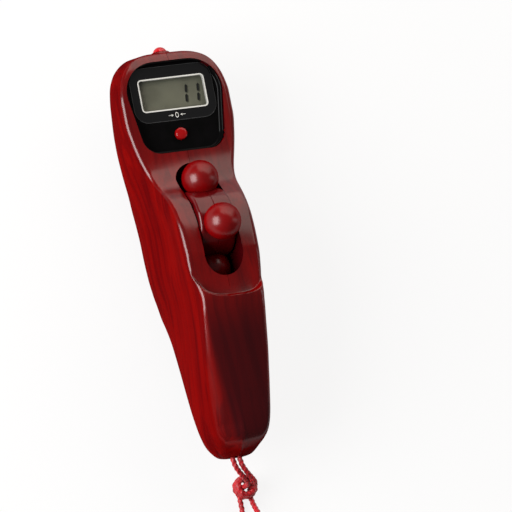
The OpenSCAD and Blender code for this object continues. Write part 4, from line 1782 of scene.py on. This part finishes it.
    def dome(self) -> bpy.types.Object:
        """Makes the thin snap dome under the button, which in the real counter flattens as the button goes
        down; here it keeps its shape.

        Returns:
            The dome.
        """
        foot, high, radius = self.board_top, self.dome_h, self.dome_r
        edge = foot + self.dome_foot
        profile = [(0, foot), (radius, foot), (radius, edge)]
        for turn in np.radians(np.linspace(20, 90, 9)):
            profile.append((radius * math.cos(turn), edge + (high - self.dome_foot) * math.sin(turn)))
        profile[-1] = (0, foot + high)
        piece = Shape.lathe("snap_dome", profile, self.on_button, 48)
        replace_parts(self.palette.dress(piece, "steel"), "reset_dome")
        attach(piece, Body.CASE.value)
        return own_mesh(piece)

    def lamp(self) -> bpy.types.Object:
        """Makes the round-nosed lamp with its foot ring.

        Returns:
            The lamp.
        """
        radius, foot = self.led_r, self.led_base
        nose, ring = self.led_tip - radius, radius + self.led_ring
        profile = [(0, foot), (ring, foot), (ring, foot + 0.9), (radius, foot + 1.0), (radius, nose)]
        profile += Shape.arc(0.0, nose, radius, 0, 88, 17)[1:]
        profile.append((0, self.led_tip))
        piece = Shape.lathe("lamp", profile, lambda a, b, h: (a, h, self.led_z - b), 72)
        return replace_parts(self.palette.dress(piece, "lamp_red"), "led_lamp")

    def build(self) -> None:
        """Makes every piece of the head and sets it on its body."""
        makers = (self.bezel, self.pane, self.digits, self.digit_shadows, self.zero_mark, self.lamp)
        fixed = [make() for make in makers]
        for piece in fixed:
            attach(piece, Body.CASE.value)
        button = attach(self.button(), Body.RESET.value)
        for piece in (*fixed, button, self.dome()):
            note(piece)


@dataclass
class BodyShells:
    """The two lacquered halves of the body, with the openings they share."""

    palette: Palette
    head: DisplayHead
    drum: BeadDrum
    half_len: float = 70.5
    y_shift: float = -1.35
    wall: float = 2.0
    edge_r: float = 2.2
    edge_start: float = -22.0
    left_edge_r: float = 11.0
    right_edge_r: float = 2.4
    crown: float = 0.5
    groove: float = 2.2
    groove_middle: float = 3.0
    groove_half: float = 19.0
    seam: float = 0.06
    seam_end: float = -16.0
    end_start: float = 58.0
    dome_depth: float = 0.45
    dome_flat: float = 0.5
    slot_half: float = 7.0
    well_turn: float = 7.1
    well_web: float = 1.2
    scoop_r: float = 45.0
    scoop_floor: float = 41.0
    scoop_middle: float = -13.0
    scoop_start: float = -2.0
    scoop_half: float = 14.0
    scoop_len: float = 17.5
    scoop_step: float = 0.9
    scoop_slope: float = 6.0
    left_bend: float = 2.6
    right_bend: float = 3.8
    seat_low: float = 18.5
    seat_high: float = 30.0
    led_gap: float = 0.1
    hole_z: float = 17.0
    hole_r: float = 2.8
    bay_y: float = -41.35
    bay_z: float = 4.6
    bay_tilt: float = -12.5
    door_r: float = 7.35
    cell_r: float = 6.1
    screw_r: float = 2.2

    # distance from the middle, front height, back height, front half width, widest half width, its height
    STATIONS = (
        (-70.5, 20.6, 13.2, 3.2, 4.6, 17.0),
        (-69.6, 22.8, 12.3, 5.2, 6.4, 17.0),
        (-68.0, 25.4, 11.5, 6.9, 8.0, 17.2),
        (-66.0, 28.0, 10.9, 8.4, 9.4, 17.4),
        (-64.0, 29.6, 10.3, 9.4, 10.2, 17.6),
        (-60.0, 31.3, 9.2, 10.3, 11.1, 17.8),
        (-52.0, 33.6, 7.2, 11.0, 12.0, 18.0),
        (-44.0, 36.0, 5.5, 11.4, 12.4, 17.8),
        (-36.0, 38.7, 3.7, 11.6, 12.6, 17.0),
        (-28.0, 41.3, 1.8, 11.6, 12.9, 16.0),
        (-22.0, 43.2, 0.4, 11.6, 13.6, 15.0),
        (-18.5, 43.9, -0.4, 11.7, 14.2, 14.3),
        (-15.0, 43.3, -0.6, 12.2, 14.7, 14.0),
        (-10.0, 42.6, -0.6, 13.0, 15.5, 13.5),
        (-4.0, 42.1, -0.6, 13.6, 16.1, 13.0),
        (2.0, 41.6, -0.6, 13.8, 16.4, 13.0),
        (8.0, 40.6, -0.6, 13.9, 16.5, 13.0),
        (12.0, 39.1, -0.6, 14.0, 16.7, 13.0),
        (16.0, 36.6, -0.6, 14.2, 17.0, 13.0),
        (19.0, 33.9, -0.4, 14.5, 17.3, 13.0),
        (22.0, 30.9, 0.6, 14.9, 17.7, 13.2),
        (25.0, 28.7, 2.0, 15.5, 18.2, 13.5),
        (29.0, 27.2, 3.5, 16.6, 19.0, 14.0),
        (34.0, 26.6, 5.2, 18.0, 19.8, 14.5),
        (40.0, 26.4, 7.0, 19.3, 20.6, 15.5),
        (47.0, 26.3, 9.0, 20.2, 21.0, 16.8),
        (54.0, 26.2, 10.7, 20.2, 20.9, 17.8),
        (60.0, 26.0, 12.0, 19.2, 20.3, 18.4),
        (64.5, 25.8, 13.0, 17.2, 18.6, 18.6),
        (67.5, 25.3, 13.8, 14.6, 16.1, 18.6),
        (69.6, 24.2, 14.5, 10.6, 12.6, 18.6),
        (70.5, 22.8, 15.2, 6.8, 8.6, 18.6),
    )
    # each shell screw's distance from the middle, and its height
    SCREWS = ((31.5, 12.0), (-27.0, 34.0), (-51.0, 23.0))
    # the mound round the lamp, as radius and height over the shell's end
    HOOD = (
        (0.0, -3.0),
        (4.2, -3.0),
        (4.1, -1.6),
        (3.95, -0.7),
        (3.75, -0.1),
        (3.45, 0.35),
        (3.15, 0.65),
        (2.9, 0.8),
        (2.6, 0.84),
        (0.0, 0.84),
    )

    @staticmethod
    def blend_rows(rows: np.ndarray, spots: np.ndarray) -> np.ndarray:
        """Runs a smooth curve with no overshoot through rows.

        Args:
            rows: The rows, with their place in the first column.
            spots: The places wanted.

        Returns:
            A row for each place, with the place first.
        """
        place = rows[:, 0]
        gap = np.diff(place)
        slope = np.diff(rows, axis=0) / gap[:, None]
        tangent = np.zeros_like(rows)
        tangent[0], tangent[-1] = slope[0], slope[-1]
        first, second = slope[:-1], slope[1:]
        weight_a = (2 * gap[1:] + gap[:-1])[:, None]
        weight_b = (gap[1:] + 2 * gap[:-1])[:, None]
        with np.errstate(divide="ignore", invalid="ignore"):
            harmonic = (weight_a + weight_b) / (weight_a / first + weight_b / second)
        tangent[1:-1] = np.where(first * second > 0, harmonic, 0.0)
        span = np.clip(np.searchsorted(place, spots, side="right") - 1, 0, len(gap) - 1)
        width = gap[span][:, None]
        t = (spots - place[span])[:, None] / width
        made = (
            (2 * t**3 - 3 * t**2 + 1) * rows[span]
            + (t**3 - 2 * t**2 + t) * width * tangent[span]
            + (3 * t**2 - 2 * t**3) * rows[span + 1]
            + (t**3 - t**2) * width * tangent[span + 1]
        )
        made[:, 0] = spots
        return made

    def section(self, row: np.ndarray, inset: float, seam: float, tail_r: float) -> np.ndarray:
        """Gives half a section, from the front middle round to the back middle.

        Args:
            row: One station.
            inset: How far inside the outer skin.
            seam: Width of the fine groove at the seam.
            tail_r: Radius of the front edge at the tail.

        Returns:
            Rows of x, z.
        """
        spot, front, back, wide_front, wide, wide_z = row
        top, low = front - inset, max(inset, back + inset)
        half_front, half = wide_front - inset, wide - inset
        edge = self.edge_r
        if spot < self.edge_start:
            grown = ((self.edge_start - spot) / (self.half_len + self.edge_start)) ** 1.4
            edge += (tail_r - self.edge_r) * grown
        edge = min(edge, half_front * 0.85)
        side_top = top - self.crown - edge
        flat = half_front - edge
        away = abs(spot - self.groove_middle)
        dip = 0.0
        if away < self.groove_half:
            dip = self.groove * (1 + math.cos(math.pi * away / self.groove_half)) / 2
        points = [(0.0, top - 5 * seam)]
        for share in np.linspace(0, 1, 41):
            x = seam + (flat - seam) * share
            points.append((x, top - self.crown * (x / flat) ** 2))
        lean = math.degrees(math.atan2(2 * self.crown, flat))
        for turn in np.linspace(lean, 90, 13)[1:]:
            angle = math.radians(turn)
            points.append((flat + edge * math.sin(angle), side_top + edge * math.cos(angle)))
        for share in np.linspace(0, 1, 17)[1:-1]:
            bow = dip * math.sin(math.pi * share) ** 1.5 - 0.2 * math.sin(math.pi * share)
            x = half_front + (half - half_front) * share - bow
            points.append((x, side_top + (wide_z - side_top) * share))
        for turn in np.linspace(0, 90, 25)[:-1]:
            angle = math.radians(turn)
            x = half * math.cos(angle) ** 0.75
            if x > seam:
                points.append((x, max(inset, wide_z - (wide_z - back - inset) * math.sin(angle) ** 0.75)))
        points += [(seam, low), (0.0, low + seam)]
        made = np.array(points)
        fall = front - self.scoop_floor - self.scoop_r
        fall += math.sqrt(self.scoop_r**2 - min(abs(spot - self.scoop_middle), 40.0) ** 2)
        if fall > 0 and spot < self.scoop_start:
            held = np.clip((made[:, 1] - wide_z) / (side_top - wide_z), 0, 1) ** 2
            bend = self.left_bend if tail_r == self.left_edge_r else self.right_bend
            made[:, 1] -= fall * held * self.scooped(made[:, 0], spot, bend)
        return made

    def scooped(self, across: np.ndarray, spot: float, bend: float) -> np.ndarray:
        """Tells how far points lie inside the scoop's outline.

        Args:
            across: Distances from the middle plane.
            spot: Distance from the body's middle along its length.
            bend: Power of the outline; more makes squarer corners.

        Returns:
            0 outside, rising to 1 inside.
        """
        wide = (np.abs(across) / self.scoop_half) ** bend
        long = ((self.scoop_start - spot) / self.scoop_len) ** bend
        inside = (1 - (wide + long) ** (1 / bend)) * self.scoop_half
        step = np.clip(inside / self.scoop_step, 0, 1)
        slope = np.clip((self.scoop_half - np.abs(across)) / self.scoop_slope, 0, 1)
        return step * step * (3 - 2 * step) * (1 - (1 - slope) ** 2)

    def rings(self, inset: float, spots: np.ndarray, seam: float, tail_r: float) -> list[np.ndarray]:
        """Gives the sections of a skin along the length.

        Args:
            inset: How far inside the outer skin.
            spots: Distances from the middle.
            seam: Width of the fine groove at the seam, which ends at the handle.
            tail_r: Radius of the front edge at the tail.

        Returns:
            Rings of x, y, z in millimetres.
        """
        reach = (self.half_len - inset) / self.half_len
        made = []
        for row in self.blend_rows(np.array(self.STATIONS), spots):
            flat = self.section(row, inset, seam if row[0] > self.seam_end else 0.0, tail_r)
            y = np.full(len(flat), row[0] * reach + self.y_shift)
            made.append(np.column_stack([flat[:, 0], y, flat[:, 1]]))
        return made

    def outer_spots(self) -> np.ndarray:
        """Gives where the outer skin has its sections, close together at both ends and at the lip.

        Returns:
            Distances from the middle, in order.
        """
        start = self.end_start
        ends = start + (self.half_len - start) * (1 - np.linspace(0, 1, 24)[::-1] ** 2)
        lip = np.linspace(-21.5, -8, 110)
        handle, front = np.linspace(-start, -22, 46), np.linspace(-7.5, start, 82)
        return np.unique(np.concatenate([-ends[::-1], lip, handle, front, ends]))

    def end_dome(self, ring: np.ndarray, tip: float) -> list[np.ndarray]:
        """Gives the sections of a low dome.

        Args:
            ring: The last section before it.
            tip: Where it ends along the length.

        Returns:
            The sections, from the ring out to the flat at the tip.
        """
        middle = (ring[:, 2].max() + ring[:, 2].min()) / 2
        made = []
        for share in np.linspace(0, 1, 7)[1:]:
            size = 1 - (1 - self.dome_flat) * share
            y = tip + (ring[0, 1] - tip) * (1 - share) ** 2
            z = middle + (ring[:, 2] - middle) * size
            made.append(np.column_stack([ring[:, 0] * size, np.full(len(ring), y), z]))
        return made

    def rounded_ends(self, rings: list[np.ndarray]) -> list[np.ndarray]:
        """Closes a skin with two low domes.

        Args:
            rings: The skin's sections from tail to head.

        Returns:
            The sections with their rounded ends.
        """
        tail, head = rings[0][0, 1], rings[-1][0, 1]
        kept = [ring for ring in rings if tail + self.dome_depth <= ring[0, 1] <= head - self.dome_depth]
        return self.end_dome(kept[0], tail)[::-1] + kept + self.end_dome(kept[-1], head)

    def half(self, name: str, tail_r: float) -> bpy.types.Object:
        """Makes one half on the right-hand side, hollow and with its openings.

        Args:
            name: The piece's name.
            tail_r: Radius of the front edge at the tail.

        Returns:
            The half.
        """
        outer = self.rounded_ends(self.rings(0.0, self.outer_spots(), self.seam, tail_r))
        inner_spots = np.linspace(-self.half_len, self.half_len, 120)
        body = Shape.loft(name, outer)
        well = self.drum_space("well_wall", self.well_web)
        Shape.combine(well, Shape.loft("bounds", outer), "INTERSECT")
        Shape.combine(body, Shape.loft("hollow", self.rings(self.wall, inner_spots, 0.0, tail_r)))
        Shape.combine(body, well, "UNION")
        Shape.combine(body, self.drum_space("drum_space", 0.0))
        head_end, tail_end = self.half_len + self.y_shift, -self.half_len + self.y_shift
        lamp = (0, head_end - 7, self.head.led_z), (0, head_end + 4, self.head.led_z)
        cord = (0, tail_end - 4, self.hole_z), (0, tail_end + 6, self.hole_z)
        Shape.combine(body, self.lamp_hood(head_end), "UNION")
        seat = self.head.outline(0.0)
        Shape.combine(body, Shape.prism("bezel_seat", seat, self.seat_low, self.seat_high))
        Shape.combine(body, self.rod("lamp_hole", self.head.led_r + self.led_gap, *lamp))
        Shape.combine(body, self.rod("cord_hole", self.hole_r, *cord))
        Shape.combine(body, self.rod("door_seat", self.door_r, self.bay_point(-6), self.bay_point(3.2)))
        Shape.combine(body, self.rod("cell_bore", self.cell_r, self.bay_point(2.0), self.bay_point(16)))
        return body

    def lamp_hood(self, head_end: float) -> bpy.types.Object:
        """Makes the right half of the low mound round the lamp.

        Args:
            head_end: Where the shell ends at the head, in millimetres.

        Returns:
            The half mound as a solid.
        """
        middle_z = self.head.led_z
        hood = Shape.lathe("lamp_hood", self.HOOD, lambda a, b, h: (a, head_end + h, middle_z - b), 64)
        near, far, wide = head_end - 5.0, head_end + 5.0, 8.0
        corners = [(0.0, near), (wide, near), (wide, far), (0.0, far)]
        Shape.combine(hood, Shape.prism("right_side", corners, 8.0, 30.0), "INTERSECT")
        return hood

    def drum_space(self, name: str, grow: float) -> bpy.types.Object:
        """Makes the space that the drum and its beads sweep.

        Args:
            name: The piece's name.
            grow: How much larger it is than the sweep.

        Returns:
            The space as a solid.
        """
        half, turn_r = self.slot_half + grow, self.well_turn + grow
        profile = [(0.0, -half)]
        limit = math.acos(half / turn_r)
        for turn in np.linspace(math.pi - limit, limit, 25):
            profile.append((self.drum.bead_pitch + turn_r * math.sin(turn), turn_r * math.cos(turn)))
        profile.append((0.0, half))
        y, z = self.drum.drum_y, self.drum.drum_z
        return Shape.lathe(name, profile, lambda a, b, h: (h, y + a, z + b), 160)

    def dark(self, points: np.ndarray) -> np.ndarray:
        """Tells which points lie on the wall of the drum's well or in the seam, where the wood takes painted
        shade.

        Args:
            points: Rows of x, y, z in millimetres.

        Returns:
            True or False for each row.
        """
        near = 0.02
        across = np.abs(points[:, 0])
        away = np.hypot(points[:, 1] - self.drum.drum_y, points[:, 2] - self.drum.drum_z)
        turn = np.hypot(np.maximum(away - self.drum.bead_pitch, 0), points[:, 0])
        well = (across < self.slot_half + near) & (turn < self.well_turn + near)
        return well | (across < self.seam)

    def rod(self, name: str, radius: float, low: Point, high: Point) -> bpy.types.Object:
        """Makes a round rod between two points.

        Args:
            name: The piece's name.
            radius: Its radius.
            low: Middle of its first end.
            high: Middle of its last end.

        Returns:
            The rod.
        """
        start, way = Vector(low), Vector(high) - Vector(low)
        turn = way.to_track_quat("Z", "Y")

        def place(a: float, b: float, h: float) -> Point:
            """Puts a turned point on the rod."""
            return tuple(start + turn @ Vector((a, b, h)))

        return Shape.lathe(name, [(0, 0), (radius, 0), (radius, way.length), (0, way.length)], place, 64)

    def bay_point(self, deep: float) -> Point:
        """Gives a point on the axis of the battery bay."""
        tilt = math.radians(self.bay_tilt)
        return 0.0, self.bay_y - deep * math.sin(tilt), self.bay_z + deep * math.cos(tilt)

    def build(self) -> None:
        """Makes both halves, with every opening, and dresses them."""
        right = self.half("right_case", self.right_edge_r)
        other = self.half("left_half", self.left_edge_r)
        left = Shape.mirrored(other, "left_case")
        bpy.data.objects.remove(other)
        for spot, height in self.SCREWS:
            y = spot + self.y_shift
            Shape.combine(right, self.rod("screw_well", self.screw_r, (5, y, height), (30, y, height)))
        for piece, node in ((left, "left_shell"), (right, "right_shell")):
            Shape.clean(piece, 38.0)
            # the walls of the well, the seam and the bezel's seat take painted shade
            Shape.mark_lean(piece, lambda points: self.dark(points) | self.head.seat_wall(points))
            self.palette.dress(piece, "rosewood_shell")
            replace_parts(piece, node)
            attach(piece, Body.CASE.value)
            note(piece)


@dataclass
class Fittings:
    """The screws and battery door, and the inner pieces that keep their CAD shape."""

    palette: Palette
    edge: float = 0.12

    ROUNDED = {
        "shell_screw_head": ("head_screw", "steel", Body.CASE),
        "shell_screw_middle": ("middle_screw", "steel", Body.CASE),
        "shell_screw_tail": ("tail_screw", "steel", Body.CASE),
        "battery_door": ("door", "rosewood_shell", Body.DOOR),
    }
    INNER = {
        "lcd_panel": "lcd_grey",
        "contact_strip": "strip_pink",
        "circuit_board": "board_green",
        "controller_cap": "chip_black",
        "board_components": "part_tan",
        "board_screws": "steel",
        "led_leads": "steel",
        "drum_screws": "steel",
        "drum_magnets": "magnet_grey",
        "drum_axle": "steel",
        "reed_switch": "reed_glass",
        "sensor_leads": "steel",
        "cell_outer": "cell_metal",
        "cell_inner": "cell_metal",
        "cell_plate": "cell_metal",
        "cell_ring": "cell_metal",
        "wire_plate": "wire_red",
        "wire_ring": "wire_black",
        "anchor_pin": "steel",
    }

    def build(self) -> None:
        """Makes the outer fittings and dresses the inner nodes."""
        for node, (name, slot, body) in self.ROUNDED.items():
            piece = Shape.node_copy(node, name, self.edge)
            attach(self.palette.dress(piece, slot), body.value)
            note(piece)
        for node, slot in self.INNER.items():
            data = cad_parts[node].data
            data.materials.clear()
            data.materials.append(self.palette.get(slot))
            logger.info("%s dressed in %s", node, slot)


def note_size() -> None:
    """Gathers the CAD box and the visual model's box."""
    boxes = {"cad": cad_box, "visual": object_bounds()}
    rows = {name: [list(corner) for corner in corners] for name, corners in boxes.items()}


def main() -> None:
    """Builds the studio and every sub-assembly in order."""
    logging.basicConfig(level=logging.INFO, format="%(message)s")
    palette = Palette()
    Studio().build()
    WristCord(palette).build()
    head, drum = DisplayHead(palette), BeadDrum(palette)
    BodyShells(palette, head, drum).build()
    drum.build()
    head.build()
    Fittings(palette).build()
    note_size()


if __name__ == "__main__":
    main()
